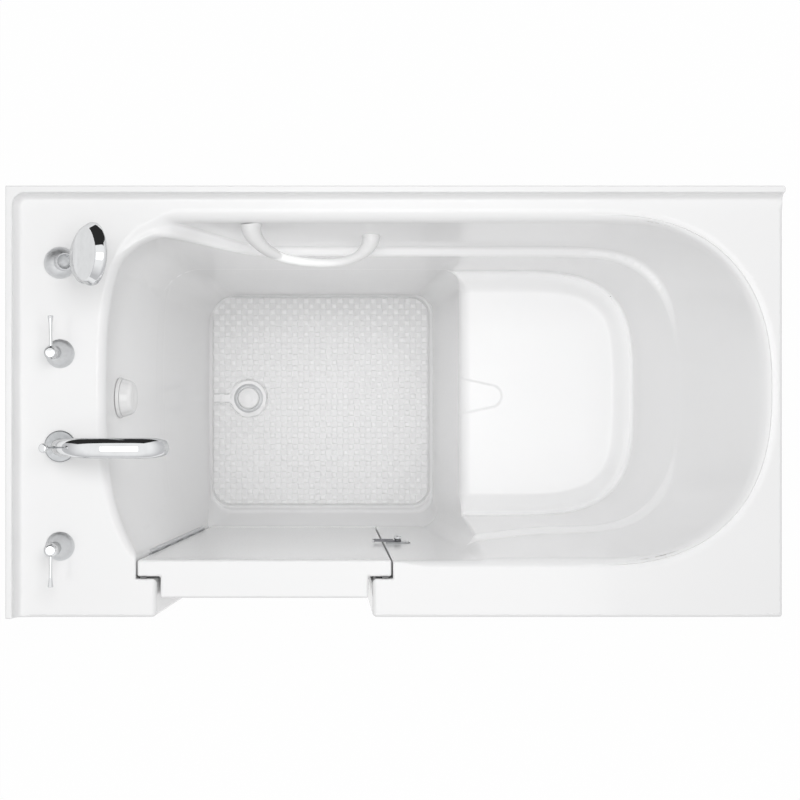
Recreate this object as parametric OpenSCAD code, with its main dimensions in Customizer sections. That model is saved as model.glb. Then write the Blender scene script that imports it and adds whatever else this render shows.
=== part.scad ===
// Walk-in soaking bath with an inward door, a moulded seat and deck taps.
// The origin is on the floor under the middle of the deck, +X runs to the seat end,
// +Y to the wall behind the bath and +Z up. Lengths are in millimetres.

/* [Tub] */
// Length of the deck
tub_l = 1372; // [1340:1:1420]
// Width of the deck
tub_w = 762; // [750:1:800]
// Height of the deck above the floor
deck_h = 965; // [940:1:1000]
// Thickness of the moulded shell
shell_t = 6; // [5:0.5:7]
// Height of the wall flange above the deck
flange_h = 25; // [15:1:35]
// Width of the wall flange at its top
flange_w = 12; // [8:1:14]
// Depth of the skirt round the deck's edge
skirt_h = 40; // [30:1:60]
// Deck width left of the basin, where the taps stand
deck_left_w = 170; // [165:1:180]
// Deck width right of the basin
deck_right_w = 18; // [16:1:30]
// Deck width in front of the basin
deck_front_w = 101.5; // [98:0.5:106]
// Deck width behind the basin
deck_back_w = 62; // [50:1:70]

/* [Basin] */
// Height of the footwell floor above the room's floor
floor_z = 105; // [100:1:112]
// Length of the flat footwell floor
foot_l = 507; // [490:1:515]
// How far the left wall leans out from floor to rim
left_lean = 91; // [80:1:95]
// How far the back wall leans out from floor to rim
back_lean = 77; // [60:1:90]
// How far the sill under the door slopes in to the floor
sill_run = 27.5; // [20:0.5:32]
// Height of that sill above the footwell floor
sill_rise = 76; // [70:1:90]
// Corner radius of the footwell floor
floor_r = 48; // [35:1:60]
// Seat height above the footwell floor
seat_h = 432; // [405:1:450]
// How far the riser under the seat leans back
riser_lean = 48; // [35:1:55]
// Height of the seat's upturned border
crease_rise = 18; // [10:1:25]
// Width of the seat's upturned border
crease_run = 36; // [25:1:40]
// Run of the backrest from seat to rim
backrest_run = 189; // [175:1:205]
// Depth of the armrest ledge below the deck
ledge_drop = 225; // [205:1:245]
// Width of the armrest ledge
ledge_w = 26; // [18:1:30]
// How far the wall above the ledge leans out
recess_lean = 25; // [12:1:28]
// Half length of the rim's oval end
oval_a = 268; // [255:1:280]
// Bow of the rim's left side
bow_a = 124; // [115:1:130]
// How far the oval of that bow reaches past the rim's front and back
bow_over = 81; // [70:1:100]
// Length of the hand grip scooped in the seat's front
scoop_l = 80; // [60:1:100]
// Width of that scoop
scoop_w = 73; // [50:1:90]
// Depth of that scoop
scoop_d = 3; // [2:0.5:4]

/* [Door] */
// Width of the door's inner flange at the top
door_w = 451; // [440:1:460]
// Distance from the tub's left end to that flange
door_left = 228; // [226:1:236]
// Thickness of the inner flange
door_flange_t = 29.5; // [26:0.5:32]
// Thickness of the outer body
door_body_t = 38; // [32:1:40]
// How far the flange laps the frame at each side
door_lap = 41; // [36:1:44]
// How far the flange laps the frame at the bottom
door_lap_low = 24; // [22:1:30]
// Lean of both door edges
door_taper = 3; // [2:0.25:3.5]
// Gap round the door's flange
door_gap = 3.4; // [3:0.1:4]
// Gap round the door's outer body
jamb_gap = 7; // [6.5:0.5:9]
// Wall of the hollow door
door_wall = 5; // [4:0.5:6]
// Thickness of the door seal
seal_t = 3.7; // [3:0.1:4]
// Width of the door seal
seal_w = 10; // [6:1:12]
// Distance from the flange's edge to the seal
seal_inset = 6; // [4:1:8]
// Slit between the seal and the frame
seal_slit = 0.3; // [0.2:0.1:0.6]

/* [Hinge] */
// Radius of the hinge barrel
knuckle_r = 3.5; // [3:0.1:4]
// Radius of the hinge pin
hinge_pin_r = 1.5; // [1.2:0.1:1.8]
// Running clearance round the hinge pin
hinge_fit = 0.06; // [0.03:0.01:0.1]
// Length of the hinge as a share of the door opening's height
hinge_share = 0.746; // [0.7:0.002:0.78]
// Distance from the deck down to the hinge, as a share of that height
hinge_drop_share = 0.16; // [0.13:0.01:0.19]
// Depth of a hinge leaf
leaf_w = 24; // [20:1:26]
// Thickness of a hinge leaf
leaf_t = 1.4; // [1:0.1:1.45]

/* [Latch] */
// Depth of the latch below the deck
latch_drop = 356; // [330:1:380]
// Distance from the door's edge to the latch pivot
latch_out = 29; // [26:1:32]
// Reach of the latch arm from its pivot
latch_reach = 48; // [44:1:54]
// Thickness of the latch arm
latch_arm_t = 4; // [3:0.5:5]
// Radius of the latch pivot
latch_pin_r = 3; // [2.5:0.1:3.5]
// Running clearance of the latch pivot
latch_fit = 0.06; // [0.03:0.01:0.1]

/* [Grab bar] */
// Distance from the tub's left end to the bar's upper foot
bar_left = 427; // [400:1:450]
// Distance between the bar's two feet
bar_span = 214; // [195:1:230]
// Depth of the upper foot below the deck
bar_drop_high = 34; // [30:1:45]
// Depth of the lower foot below the deck
bar_drop_low = 125; // [110:1:140]
// How far the bar bows out from the wall
bar_bow = 56; // [48:1:62]
// Radius of the bar at its middle
bar_r = 8.5; // [7:0.5:10]
// Radius of the bar's feet
bar_foot_r = 15; // [13:0.5:17]

/* [Waste] */
// Distance from the tub's left end to the drain
drain_left = 349; // [340:1:365]
// Place of the drain and the overflow across the tub
waste_y = 8; // [0:1:16]
// Outer radius of the drain flange
drain_r = 31; // [28:1:35]
// Radius of the drain stopper
stopper_r = 24; // [21:1:25]
// Lift of the stopper
stopper_lift = 10; // [6:1:14]
// Radius of the waste pipes
waste_r = 19; // [17:0.5:19]
// Depth of the overflow below the deck
overflow_drop = 100; // [90:1:130]
// Radius of the overflow plate
overflow_r = 37.5; // [34:0.5:40]
// Radius of the overflow knob
knob_r = 31.5; // [28:0.5:33]

/* [Taps] */
// Distance from the tub's left end to the row of taps
tap_inset = 92; // [88:1:98]
// Distance from the back edge to the hand shower
shower_in = 134; // [122:1:146]
// Distance from the front edge to the cold tap
cold_in = 126; // [116:1:136]
// Distance from the middle of the basin forward to the spout
spout_off = 97.75; // [88:0.25:108]
// Distance from the spout back to the hot tap
hot_gap = 164; // [150:1:175]
// Radius of the spout's and the shower's base
base_r = 28; // [26:1:30]
// Radius of a tap's bell-shaped base
bell_r = 25.5; // [23:0.5:28]
// Height of that base
bell_h = 46; // [40:1:52]
// Height of the lever above the deck
lever_h = 84; // [76:1:92]
// Length of a tap's lever
lever_l = 64; // [56:1:72]
// Radius of a valve stem
stem_r = 5; // [4:0.5:6]
// Running clearance of handles on their stems
stem_fit = 0.06; // [0.03:0.01:0.1]
// Reach of the spout
spout_reach = 208; // [190:1:225]
// Height of the spout's crown above the deck
spout_h = 134; // [120:1:150]
// Radius of the shower's grip
grip_r = 12.5; // [11:0.5:14]
// Lean of the hand shower
shower_lean = 24.6; // [18:0.2:26]
// Distance from the deck to the shower head along the grip
shower_l = 204; // [185:1:215]
// Radius of the shower head
head_r = 53.5; // [48:0.5:58]
// Thickness of the shower head
head_t = 20; // [16:1:24]

/* [Frame and apron] */
// Side of the square frame tube
tube = 30; // [25:1:32]
// Wall of the frame tube
tube_t = 2; // [1.5:0.5:3]
// Thickness of the apron panels
apron_t = 4; // [3:0.5:4.5]
// Gap from the floor to the apron
apron_foot = 15; // [12:1:25]
// Radius of a foot pad
pad_r = 20; // [16:1:20]
// Thickness of a foot pad
pad_h = 10; // [8:1:11]
// Radius of a foot's stud
stud_r = 6; // [5:0.5:7]

/* [Hidden] */
$fn = 32;

white = "whitesmoke";
chrome = "silver";
steel = "lightslategray";

// Edges of the deck and the basin's rim
x0 = -tub_l / 2;
x1 = tub_l / 2;
y0 = -tub_w / 2;
y1 = tub_w / 2;
rim_x0 = x0 + deck_left_w;
rim_x1 = x1 - deck_right_w;
rim_y0 = y0 + deck_front_w;
rim_y1 = y1 - deck_back_w;
rim_mid_y = (rim_y0 + rim_y1) / 2;
bow_b = (rim_y1 - rim_y0) / 2 + bow_over;
deck_under = deck_h - shell_t;

// Footwell
floor_x0 = rim_x0 + left_lean;
floor_x1 = floor_x0 + foot_l;
floor_y0 = rim_y0 + sill_run;
floor_y1 = rim_y1 - back_lean;
sill_z = floor_z + sill_rise;
foot_top_y1 = rim_y1 - ledge_w - 4;
riser_slope = riser_lean / seat_h;
sill_share = sill_rise / (deck_h - floor_z);
corner_r = 40;
door_corner_r = 6;
slab_t = 0.5;
cut = 1;

// Seat, backrest and armrest ledge
seat_z = floor_z + seat_h;
seat_x0 = floor_x1 + riser_lean;
crease_z = seat_z + crease_rise;
crease_x1 = rim_x1 - backrest_run;
crease_y0 = rim_y0 + ledge_w + 25;
crease_y1 = rim_y1 - ledge_w - 30;
crease_r = 80;
ledge_z = deck_h - ledge_drop;
ledge_share = (ledge_z - crease_z) / (deck_h - crease_z);
ledge_x1 = crease_x1 + backrest_run * ledge_share;
ledge_x0 = rim_x0 + 116;
oval_x = rim_x1 - oval_a;
seat_lap = 70;

function mix(a, b, share) = a + (b - a) * share;

// Points of one rounded corner, turning left from angle a
function corner(x, y, r, a, n = 6) =
    [for (i = [0 : n]) [x + r * cos(a + 90 * i / n), y + r * sin(a + 90 * i / n)]];

// Rectangle with its own radius at the front left, front right, back right and back left
function round_box(xa, ya, xb, yb, r) = concat(
    corner(xa + r[0], ya + r[0], r[0], 180),
    corner(xb - r[1], ya + r[1], r[1], 270),
    corner(xb - r[2], yb - r[2], r[2], 0),
    corner(xa + r[3], yb - r[3], r[3], 90));

// Bowed left side of the rim, from the back to the front
function left_bow(ya, yb, o, n = 10) =
    [for (i = [0 : n]) let (y = mix(yb, ya, i / n))
        [rim_x0 + bow_a - (bow_a + o) * sqrt(1 - pow((y - rim_mid_y) / (bow_b + o), 2)), y]];

// Oval right end, from the front to the back
function right_oval(a, ya, yb, n = 18) =
    [for (i = [0 : n]) let (t = -90 + 180 * i / n)
        [oval_x + a * cos(t), (ya + yb) / 2 + (yb - ya) / 2 * sin(t)]];

// Outlines of the basin, grown by o for the outside of the shell
function foot_floor(o) = round_box(floor_x0 - o, floor_y0 - o, floor_x1 + o, floor_y1 + o,
    [for (i = [0 : 3]) floor_r + o]);
function foot_sill(o) = round_box(
    mix(floor_x0, rim_x0, sill_share) - o, rim_y0 - o,
    floor_x1 + riser_slope * sill_rise + o, mix(floor_y1, foot_top_y1, sill_share) + o,
    [door_corner_r, corner_r, corner_r, floor_r] + [o, o, o, o]);
function foot_top(o) = let (xb = floor_x1 + riser_slope * (deck_h - floor_z) + o)
    concat(
        corner(xb - corner_r, rim_y0 - o + corner_r, corner_r, 270),
        corner(xb - corner_r, foot_top_y1 + o - corner_r, corner_r, 0),
        left_bow(rim_y0 - o, foot_top_y1 + o, o));
function seat_flat(o) = round_box(
    seat_x0 - seat_lap, crease_y0 + crease_run * 0.75 - o,
    crease_x1 - crease_run + o, crease_y1 - crease_run * 0.75 + o,
    [1, crease_r * 0.75, crease_r * 0.75, 1] + [o, o, o, o]);
function seat_crease(o) = round_box(seat_x0 - seat_lap, crease_y0 - o, crease_x1 + o,
    crease_y1 + o, [1, crease_r, crease_r, 1] + [o, o, o, o]);
function seat_top(o) = concat(
    right_oval(oval_a + o, rim_y0 + ledge_w - o, rim_y1 - ledge_w + o),
    [[seat_x0 - seat_lap, rim_y1 - ledge_w + o], [seat_x0 - seat_lap, rim_y0 + ledge_w - o]]);
function ledge_low(o) = concat(
    right_oval(ledge_x1 - oval_x + o, rim_y0 + recess_lean - o, rim_y1 - recess_lean + o),
    corner(ledge_x0 + 60 - o, rim_y1 - recess_lean - 60 + o, 60, 90),
    corner(ledge_x0 + 60 - o, rim_y0 + recess_lean + 60 - o, 60, 180));
function ledge_top(o) = concat(right_oval(oval_a + o, rim_y0 - o, rim_y1 + o),
    left_bow(rim_y0 - o, rim_y1 + o, o));

module slab(points, z) {
    translate([0, 0, z]) linear_extrude(slab_t) polygon(points);
}

// The three hollows of the basin; o grows them for the outside and over lifts their top
module footwell_form(o, over) {
    hull() {
        slab(foot_floor(o), floor_z - o);
        slab(foot_sill(o), sill_z - o);
        slab(foot_top(o), deck_h - slab_t + over);
    }
}
module seat_form(o, over) {
    hull() {
        slab(seat_flat(o), seat_z - o);
        slab(seat_crease(o), crease_z - o);
        slab(seat_top(o), deck_h - slab_t + over);
    }
}
module ledge_form(o, over) {
    hull() {
        slab(ledge_low(o), ledge_z - o);
        slab(ledge_top(o), deck_h - slab_t + over);
    }
}

// Door and its frame
door_x0 = x0 + door_left;
door_x1 = door_x0 + door_w;
door_slope = tan(door_taper);
door_z0 = sill_z + 3;
door_y1 = rim_y0;
door_step_y = door_y1 - door_flange_t;
door_y0 = door_step_y - door_body_t;
rebate_y = door_step_y - seal_t - seal_slit;
body_z0 = door_z0 + door_lap_low;
portal_z = body_z0 - 3;
portal_x0 = door_x0 + door_lap - jamb_gap;
portal_x1 = door_x1 - door_lap + jamb_gap;

// Trapezium standing in the door's plane, extruded from ya to yb
module door_prism(xa, xb, za, zb, ya, yb) {
    low = (deck_h - za) * door_slope;
    high = (deck_h - zb) * door_slope;
    translate([0, yb, 0]) rotate([90, 0, 0]) linear_extrude(yb - ya)
        polygon([[xa + low, za], [xb - low, za], [xb - high, zb], [xa + high, zb]]);
}

// Wall flange section, u running in from the wall
module flange_section() {
    polygon(concat([[0, -cut], [0, flange_h], [flange_w, flange_h]],
        [for (i = [1 : 6]) [2 * flange_w - flange_w * cos(15 * i), flange_h * (1 - sin(15 * i))]],
        [[2 * flange_w, -cut]]));
}

// Places along the tap row
tap_x = x0 + tap_inset;
shower_y = y1 - shower_in;
cold_y = y0 + cold_in;
spout_y = rim_mid_y - spout_off;
hot_y = spout_y + hot_gap;
nut_r = 24;
nut_h = 10;
valve_drop = 12;
valve_l = 44;
neck_in = 3.5;
neck_up = 30;
stem_down = 8.5;
shank_r = 14;
shank_slack = 1;
valve_r = 16;
inlet_r = 10.5;
inlet_l = 24;
cross_z = deck_under - 34;
crossover_r = 7.5;
crossover_in = 10;

// Drain and overflow
drain_x = x0 + drain_left;
throat_r = stopper_r - 4;
overflow_z = deck_h - overflow_drop;
// Lean of the basin's left wall and where the overflow meets it
left_angle = atan((left_lean * (1 - sill_share)) / (deck_h - sill_z));
overflow_x = mix(rim_x0, mix(floor_x0, rim_x0, sill_share), overflow_drop / (deck_h - sill_z)) + 1.2;
overflow_hole_r = 20;

// Stand on the left wall, with +Z pointing into the basin
module on_left_wall() {
    translate([overflow_x, waste_y, overflow_z]) rotate([0, 90 - left_angle, 0]) children();
}

// Grab bar feet stand on the wall above the ledge
recess_angle = atan(recess_lean / ledge_drop);
bar_x0 = x0 + bar_left;
bar_x1 = bar_x0 + bar_span;
bar_bolt_r = 4;
bar_bolt_in = 10;
function recess_y(drop) = rim_y1 - recess_lean * drop / ledge_drop;
// Stand on that wall at x and drop, with +Z pointing out of it
module on_recess_wall(x, drop) {
    translate([x, recess_y(drop) - 0.35, deck_h - drop]) rotate([90 - recess_angle, 0, 0]) children();
}

// Scoop in the seat's front edge
module seat_scoop() {
    translate([seat_x0 - 1, rim_mid_y - 8, seat_z - scoop_d]) linear_extrude(scoop_d + cut)
        polygon([
            [0, -scoop_w / 2], [scoop_l * 0.42, -scoop_w * 0.28], [scoop_l * 0.9, -scoop_w * 0.16],
            [scoop_l, 0], [scoop_l * 0.9, scoop_w * 0.16], [scoop_l * 0.42, scoop_w * 0.28],
            [0, scoop_w / 2]]);
}

module tub_shell() {
    t = shell_t;
    color(white) difference() {
        union() {
            footwell_form(t, 0);
            seat_form(t, 0);
            ledge_form(t, 0);
            translate([x0, y0, deck_under]) cube([tub_l, tub_w, t]);
            difference() {
                translate([x0, y0, deck_h - skirt_h]) cube([tub_l, tub_w, skirt_h]);
                translate([x0 + t, y0 + t, deck_h - skirt_h - cut])
                    cube([tub_l - 2 * t, tub_w - 2 * t, skirt_h]);
            }
            // Raised flange along the back and the left
            translate([x0, y1, deck_h]) rotate([90, 0, 90]) linear_extrude(tub_l)
                mirror([1, 0]) flange_section();
            translate([x0, y1, deck_h]) rotate([90, 0, 0]) linear_extrude(tub_w) flange_section();
            // Frame round the door
            door_prism(door_x0 - door_gap - t, door_x1 + door_gap + t, sill_z - t, deck_h,
                rebate_y - t, rim_y0);
            door_prism(portal_x0 - t, portal_x1 + t, portal_z - t, deck_h, y0, rebate_y);
        }
        footwell_form(0, cut);
        seat_form(0, cut);
        ledge_form(0, cut);
        seat_scoop();
        door_prism(door_x0 - door_gap, door_x1 + door_gap, sill_z, deck_h + cut, rebate_y,
            rim_y0 + cut);
        door_prism(portal_x0, portal_x1, portal_z, deck_h + cut, y0 - cut, rebate_y + cut);
        for (y = [shower_y, hot_y, spout_y, cold_y])
            translate([tap_x, y, deck_under - cut]) cylinder(r = shank_r + shank_slack, h = 3 * t);
        translate([drain_x, waste_y, floor_z - 2 * t]) cylinder(r = throat_r + 3, h = 3 * t);
        on_left_wall() translate([0, 0, -3 * t]) cylinder(r = overflow_hole_r + 1, h = 4 * t);
        on_recess_wall(bar_x0, bar_drop_high) bar_hole();
        on_recess_wall(bar_x1, bar_drop_low) bar_hole();
    }
}
module bar_hole() {
    translate([0, 0, -3 * shell_t]) cylinder(r = bar_bolt_r + 0.5, h = 4 * shell_t);
}

// Apron and frame
frame_y0 = y0 + shell_t;
frame_y1 = y1 - shell_t;
frame_x0 = x0 + shell_t;
frame_x1 = x1 - shell_t;
rail_z = floor_z - shell_t - 2 * tube;
apron_top = deck_h - skirt_h - 2;
portal_low_z = portal_z - shell_t;
apron_slit = 2;
screw_r = 2;
screw_head_r = 5;
screw_head_t = 1.5;
screw_l = 12;
post_x = [frame_x0 + tube / 2, frame_x1 - tube / 2];
post_y = [frame_y0 + tube / 2, frame_y1 - tube / 2];
seat_bar_in = 70;
seat_bar_gap = 200;
cross_in = 200;
cross_out = 42;
foot_in = 90;
seat_bar_x = [seat_x0 + seat_bar_in, seat_x0 + seat_bar_in + seat_bar_gap];
cross_x = [floor_x0 + cross_in, floor_x1 - cross_out];
foot_x = [x0 + foot_in, 0, x1 - foot_in];
screw_up = 150;
screw_down = 50;
screw_post_in = 120;
screw_door_in = 80;
screw_z = [rail_z + screw_up, apron_top - screw_down];
front_screws = concat(
    [for (x = [post_x[0], seat_bar_x[0], seat_bar_x[1], post_x[1]])
        for (z = screw_z) if (x < 0 || x > post_x[1] - 1 || z < seat_z) [x, z]],
    [for (x = [post_x[0] + screw_post_in, portal_x0 + screw_door_in, portal_x1 - screw_door_in,
        portal_x1 + screw_post_in]) [x, rail_z + tube / 2]]);
end_screws = [for (y = post_y) for (z = screw_z) [y, z]];

module front_screw_holes() {
    for (s = front_screws)
        translate([s[0], frame_y0 + 6, s[1]]) rotate([90, 0, 0])
            cylinder(r = screw_r + 0.2, h = 6 + apron_t + cut);
}
module end_screw_holes() {
    for (s = end_screws)
        translate([frame_x1 - 6, s[0], s[1]]) rotate([0, 90, 0])
            cylinder(r = screw_r + 0.2, h = 6 + apron_t + cut);
}
module front_panel(points) {
    color(white) difference() {
        translate([0, frame_y0, 0]) rotate([90, 0, 0]) linear_extrude(apron_t) polygon(points);
        front_screw_holes();
    }
}
function jamb_x(x, z) = x + (deck_h - z) * door_slope;
function jamb_x_right(x, z) = x - (deck_h - z) * door_slope;
left_edge = portal_x0 - shell_t - apron_slit;
right_edge = portal_x1 + shell_t + apron_slit;
module apron_panel_left() {
    front_panel([[x0 + 1, apron_foot], [jamb_x(left_edge, portal_low_z), apron_foot],
        [jamb_x(left_edge, portal_low_z), portal_low_z], [jamb_x(left_edge, apron_top), apron_top],
        [x0 + 1, apron_top]]);
}
module apron_panel_right() {
    front_panel([[frame_x1 + apron_t, apron_foot], [frame_x1 + apron_t, apron_top],
        [jamb_x_right(right_edge, apron_top), apron_top],
        [jamb_x_right(right_edge, portal_low_z), portal_low_z],
        [jamb_x_right(right_edge, portal_low_z), apron_foot]]);
}
module apron_panel_sill() {
    xa = jamb_x(left_edge, portal_low_z) + apron_slit;
    xb = jamb_x_right(right_edge, portal_low_z) - apron_slit;
    top = portal_low_z - apron_slit;
    front_panel([[xa, apron_foot], [xb, apron_foot], [xb, top], [xa, top]]);
}
module apron_panel_end() {
    color(white) difference() {
        translate([frame_x1, frame_y0 + apron_slit, apron_foot])
            cube([apron_t, frame_y1 - frame_y0 - apron_slit, apron_top - apron_foot]);
        end_screw_holes();
    }
}
module apron_screw() {
    cylinder(r = screw_head_r, h = screw_head_t);
    translate([0, 0, -screw_l]) cylinder(r = screw_r, h = screw_l);
}
module apron_screws() {
    color(chrome) {
        for (s = front_screws)
            translate([s[0], frame_y0 - apron_t, s[1]]) rotate([90, 0, 0]) apron_screw();
        for (s = end_screws)
            translate([frame_x1 + apron_t, s[0], s[1]]) rotate([0, 90, 0]) apron_screw();
    }
}

// Square tube along an axis, with its low corner at the given point
module tube_x(p, l) {
    translate(p) difference() {
        cube([l, tube, tube]);
        translate([-cut, tube_t, tube_t]) cube([l + 2 * cut, tube - 2 * tube_t, tube - 2 * tube_t]);
    }
}
module tube_y(p, l) {
    translate(p) difference() {
        cube([tube, l, tube]);
        translate([tube_t, -cut, tube_t]) cube([tube - 2 * tube_t, l + 2 * cut, tube - 2 * tube_t]);
    }
}
module tube_z(p, l) {
    translate(p) difference() {
        cube([tube, tube, l]);
        translate([tube_t, tube_t, -cut]) cube([tube - 2 * tube_t, tube - 2 * tube_t, l + 2 * cut]);
    }
}
module stud_holes(y) {
    for (x = foot_x) translate([x, y, rail_z - cut]) cylinder(r = stud_r + 0.3, h = tube + 2 * cut);
}
module frame_rail_front() {
    color(steel) difference() {
        tube_x([frame_x0, frame_y0, rail_z], frame_x1 - frame_x0);
        stud_holes(post_y[0]);
        front_screw_holes();
    }
}
module frame_rail_back() {
    color(steel) difference() {
        tube_x([frame_x0, frame_y1 - tube, rail_z], frame_x1 - frame_x0);
        stud_holes(post_y[1]);
    }
}
module frame_cross(x) {
    color(steel) tube_y([x - tube / 2, frame_y0, rail_z + tube], frame_y1 - frame_y0);
}
module frame_end(x) {
    color(steel) tube_y([x - tube / 2, frame_y0 + tube, rail_z], frame_y1 - frame_y0 - 2 * tube);
}
module post(x, y) {
    color(steel) difference() {
        tube_z([x - tube / 2, y - tube / 2, rail_z + tube], deck_under - rail_z - tube);
        front_screw_holes();
        end_screw_holes();
    }
}
module seat_bar(x) {
    color(steel) tube_y([x - tube / 2, frame_y0, seat_z - shell_t - tube], frame_y1 - frame_y0);
}
module seat_legs() {
    color(steel) difference() {
        for (x = seat_bar_x) for (y = post_y)
            tube_z([x - tube / 2, y - tube / 2, rail_z + tube],
                seat_z - shell_t - 2 * tube - rail_z);
        front_screw_holes();
    }
}

// Levelling feet
stud_seat = 4;
nut_t = 8;
module at_feet() {
    for (x = foot_x) for (y = post_y) translate([x, y, 0]) children();
}
module foot_pads() {
    color("dimgray") at_feet() difference() {
        cylinder(r = pad_r, h = pad_h);
        translate([0, 0, stud_seat]) cylinder(r = stud_r, h = pad_h);
    }
}
module foot_studs() {
    color(chrome) at_feet() translate([0, 0, stud_seat])
        cylinder(r = stud_r, h = rail_z + tube - stud_seat - 6);
}
module foot_nuts() {
    color(chrome) at_feet() translate([0, 0, rail_z - nut_t]) difference() {
        cylinder(r = stud_r * 1.8, h = nut_t, $fn = 6);
        translate([0, 0, -cut]) cylinder(r = stud_r, h = nut_t + 2 * cut);
    }
}

// Door, hollow between its two panels
body_x0 = door_x0 + door_lap;
body_x1 = door_x1 - door_lap;
pocket_top = deck_h - door_wall;
module door_inner_panel() {
    color(white) difference() {
        door_prism(door_x0, door_x1, door_z0, deck_h, door_step_y, door_y1);
        door_prism(body_x0 + door_wall, body_x1 - door_wall, body_z0 + door_wall, pocket_top,
            door_step_y - cut, door_y1 - door_wall);
    }
}
module door_outer_panel() {
    color(white) difference() {
        door_prism(body_x0, body_x1, body_z0, deck_h, door_y0, door_step_y);
        door_prism(body_x0 + door_wall, body_x1 - door_wall, body_z0 + door_wall, pocket_top,
            door_y0 + door_wall, door_step_y + cut);
    }
}
module door_seal() {
    outer = seal_inset;
    inner = seal_inset + seal_w;
    color("lightgray") difference() {
        door_prism(door_x0 + outer, door_x1 - outer, door_z0 + outer, deck_h,
            door_step_y - seal_t, door_step_y);
        door_prism(door_x0 + inner, door_x1 - inner, door_z0 + inner, deck_h + cut,
            door_step_y - seal_t - cut, door_step_y + cut);
    }
}

// Hinge along the door's left edge, standing on its lower end
hinge_x = door_x0 - door_gap / 2;
hinge_y = door_y1 + knuckle_r + 0.5;
knuckles = 9;
hinge_l = hinge_share * (deck_h - sill_z);
hinge_drop = hinge_drop_share * (deck_h - sill_z);
knuckle_slit = 0.6;
pitch = hinge_l / knuckles;
leaf_start = knuckle_r + 1;
module on_hinge() {
    translate([hinge_x, hinge_y, deck_h]) rotate([0, -door_taper, 0])
        translate([0, 0, -hinge_drop - hinge_l]) children();
}
module hinge_leaf(side, first) {
    leaf_x = side > 0 ? door_gap / 2 * cos(door_taper) - leaf_t : -door_gap / 2 * cos(door_taper);
    difference() {
        union() {
            translate([leaf_x, -leaf_start - leaf_w, 0]) cube([leaf_t, leaf_w, hinge_l]);
            for (i = [first : 2 : knuckles - 1])
                translate([0, 0, i * pitch + knuckle_slit / 2]) {
                    cylinder(r = knuckle_r, h = pitch - knuckle_slit);
                    translate([leaf_x, -leaf_start, 0]) cube([leaf_t, leaf_start, pitch - knuckle_slit]);
                }
        }
        translate([0, 0, -cut]) cylinder(r = hinge_pin_r + hinge_fit, h = hinge_l + 2 * cut);
    }
}
module hinge_frame_leaf() {
    color("dimgray") on_hinge() hinge_leaf(-1, 0);
}
module hinge_door_leaf() {
    color("dimgray") on_hinge() hinge_leaf(1, 1);
}
module hinge_pin() {
    color("gray") on_hinge() cylinder(r = hinge_pin_r, h = hinge_l);
}

// Latch on the door frame
latch_z = deck_h - latch_drop;
latch_edge_x = jamb_x_right(door_x1, latch_z);
latch_x = latch_edge_x + latch_out;
latch_plate_t = 2.5;
latch_plate_h = 24;
latch_slit = 0.3;
latch_hub_r = 7;
latch_knob_r = 6.5;
latch_knob_t = 7;
latch_tip_r = 3.4;
// Stand on the pivot with +Z pointing into the basin and +Y up
module on_latch() {
    translate([latch_x, rim_y0, latch_z]) rotate([-90, 0, 0]) mirror([0, 1, 0]) children();
}
arm_z = latch_plate_t + latch_slit;
module latch_base() {
    plate_left = latch_x - (latch_edge_x + door_gap + 2);
    color(chrome) on_latch() {
        translate([-plate_left, -latch_plate_h / 2, 0]) cube([plate_left + 25, latch_plate_h, latch_plate_t]);
        cylinder(r = latch_pin_r, h = arm_z + latch_arm_t + latch_knob_t - 2);
        for (x = [16, 21]) translate([x, 0, latch_plate_t - 0.1]) cylinder(r = 2, h = 1);
    }
}
module latch_arm() {
    color(chrome) on_latch() difference() {
        union() {
            translate([0, 0, arm_z]) cylinder(r = latch_hub_r, h = latch_arm_t);
            translate([-latch_reach, -3.5, arm_z]) cube([latch_reach, 7, latch_arm_t]);
            translate([-latch_reach, 0, arm_z + latch_arm_t / 2]) sphere(r = latch_tip_r);
        }
        translate([0, 0, -cut]) cylinder(r = latch_pin_r + latch_fit, h = 20);
    }
}
module latch_knob() {
    color(chrome) on_latch() translate([0, 0, arm_z + latch_arm_t]) difference() {
        cylinder(r1 = latch_knob_r, r2 = latch_knob_r - 1, h = latch_knob_t);
        translate([0, 0, -cut]) cylinder(r = latch_pin_r + latch_fit, h = latch_knob_t - 2 + latch_slit + cut);
    }
}

// Grab bar, bowed out between two feet on the back wall
module bar_ball(x, drop, out, r) {
    translate([x, recess_y(drop) - out, deck_h - drop]) sphere(r = r);
}
module bar_foot(x, drop) {
    on_recess_wall(x, drop) cylinder(r1 = bar_foot_r, r2 = bar_foot_r * 0.75, h = 14);
}
module grab_bar() {
    mid_x = (bar_x0 + bar_x1) / 2;
    mid_drop = (bar_drop_high + bar_drop_low) / 2;
    bend = 34;
    color(white) difference() {
        union() {
            bar_foot(bar_x0, bar_drop_high);
            bar_foot(bar_x1, bar_drop_low);
            hull() {
                bar_ball(bar_x0 + 4, bar_drop_high + 1, 16, bar_foot_r * 0.7);
                bar_ball(bar_x0 + bend, mix(bar_drop_high, mid_drop, 0.3), bar_bow * 0.85, bar_r + 1);
            }
            hull() {
                bar_ball(bar_x0 + bend, mix(bar_drop_high, mid_drop, 0.3), bar_bow * 0.85, bar_r + 1);
                bar_ball(mid_x, mid_drop, bar_bow, bar_r);
            }
            hull() {
                bar_ball(mid_x, mid_drop, bar_bow, bar_r);
                bar_ball(bar_x1 - bend, mix(bar_drop_low, mid_drop, 0.3), bar_bow * 0.85, bar_r + 1);
            }
            hull() {
                bar_ball(bar_x1 - bend, mix(bar_drop_low, mid_drop, 0.3), bar_bow * 0.85, bar_r + 1);
                bar_ball(bar_x1 - 4, bar_drop_low - 1, 16, bar_foot_r * 0.7);
            }
        }
        on_recess_wall(bar_x0, bar_drop_high) bar_bolt_bore();
        on_recess_wall(bar_x1, bar_drop_low) bar_bolt_bore();
    }
}
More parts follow.
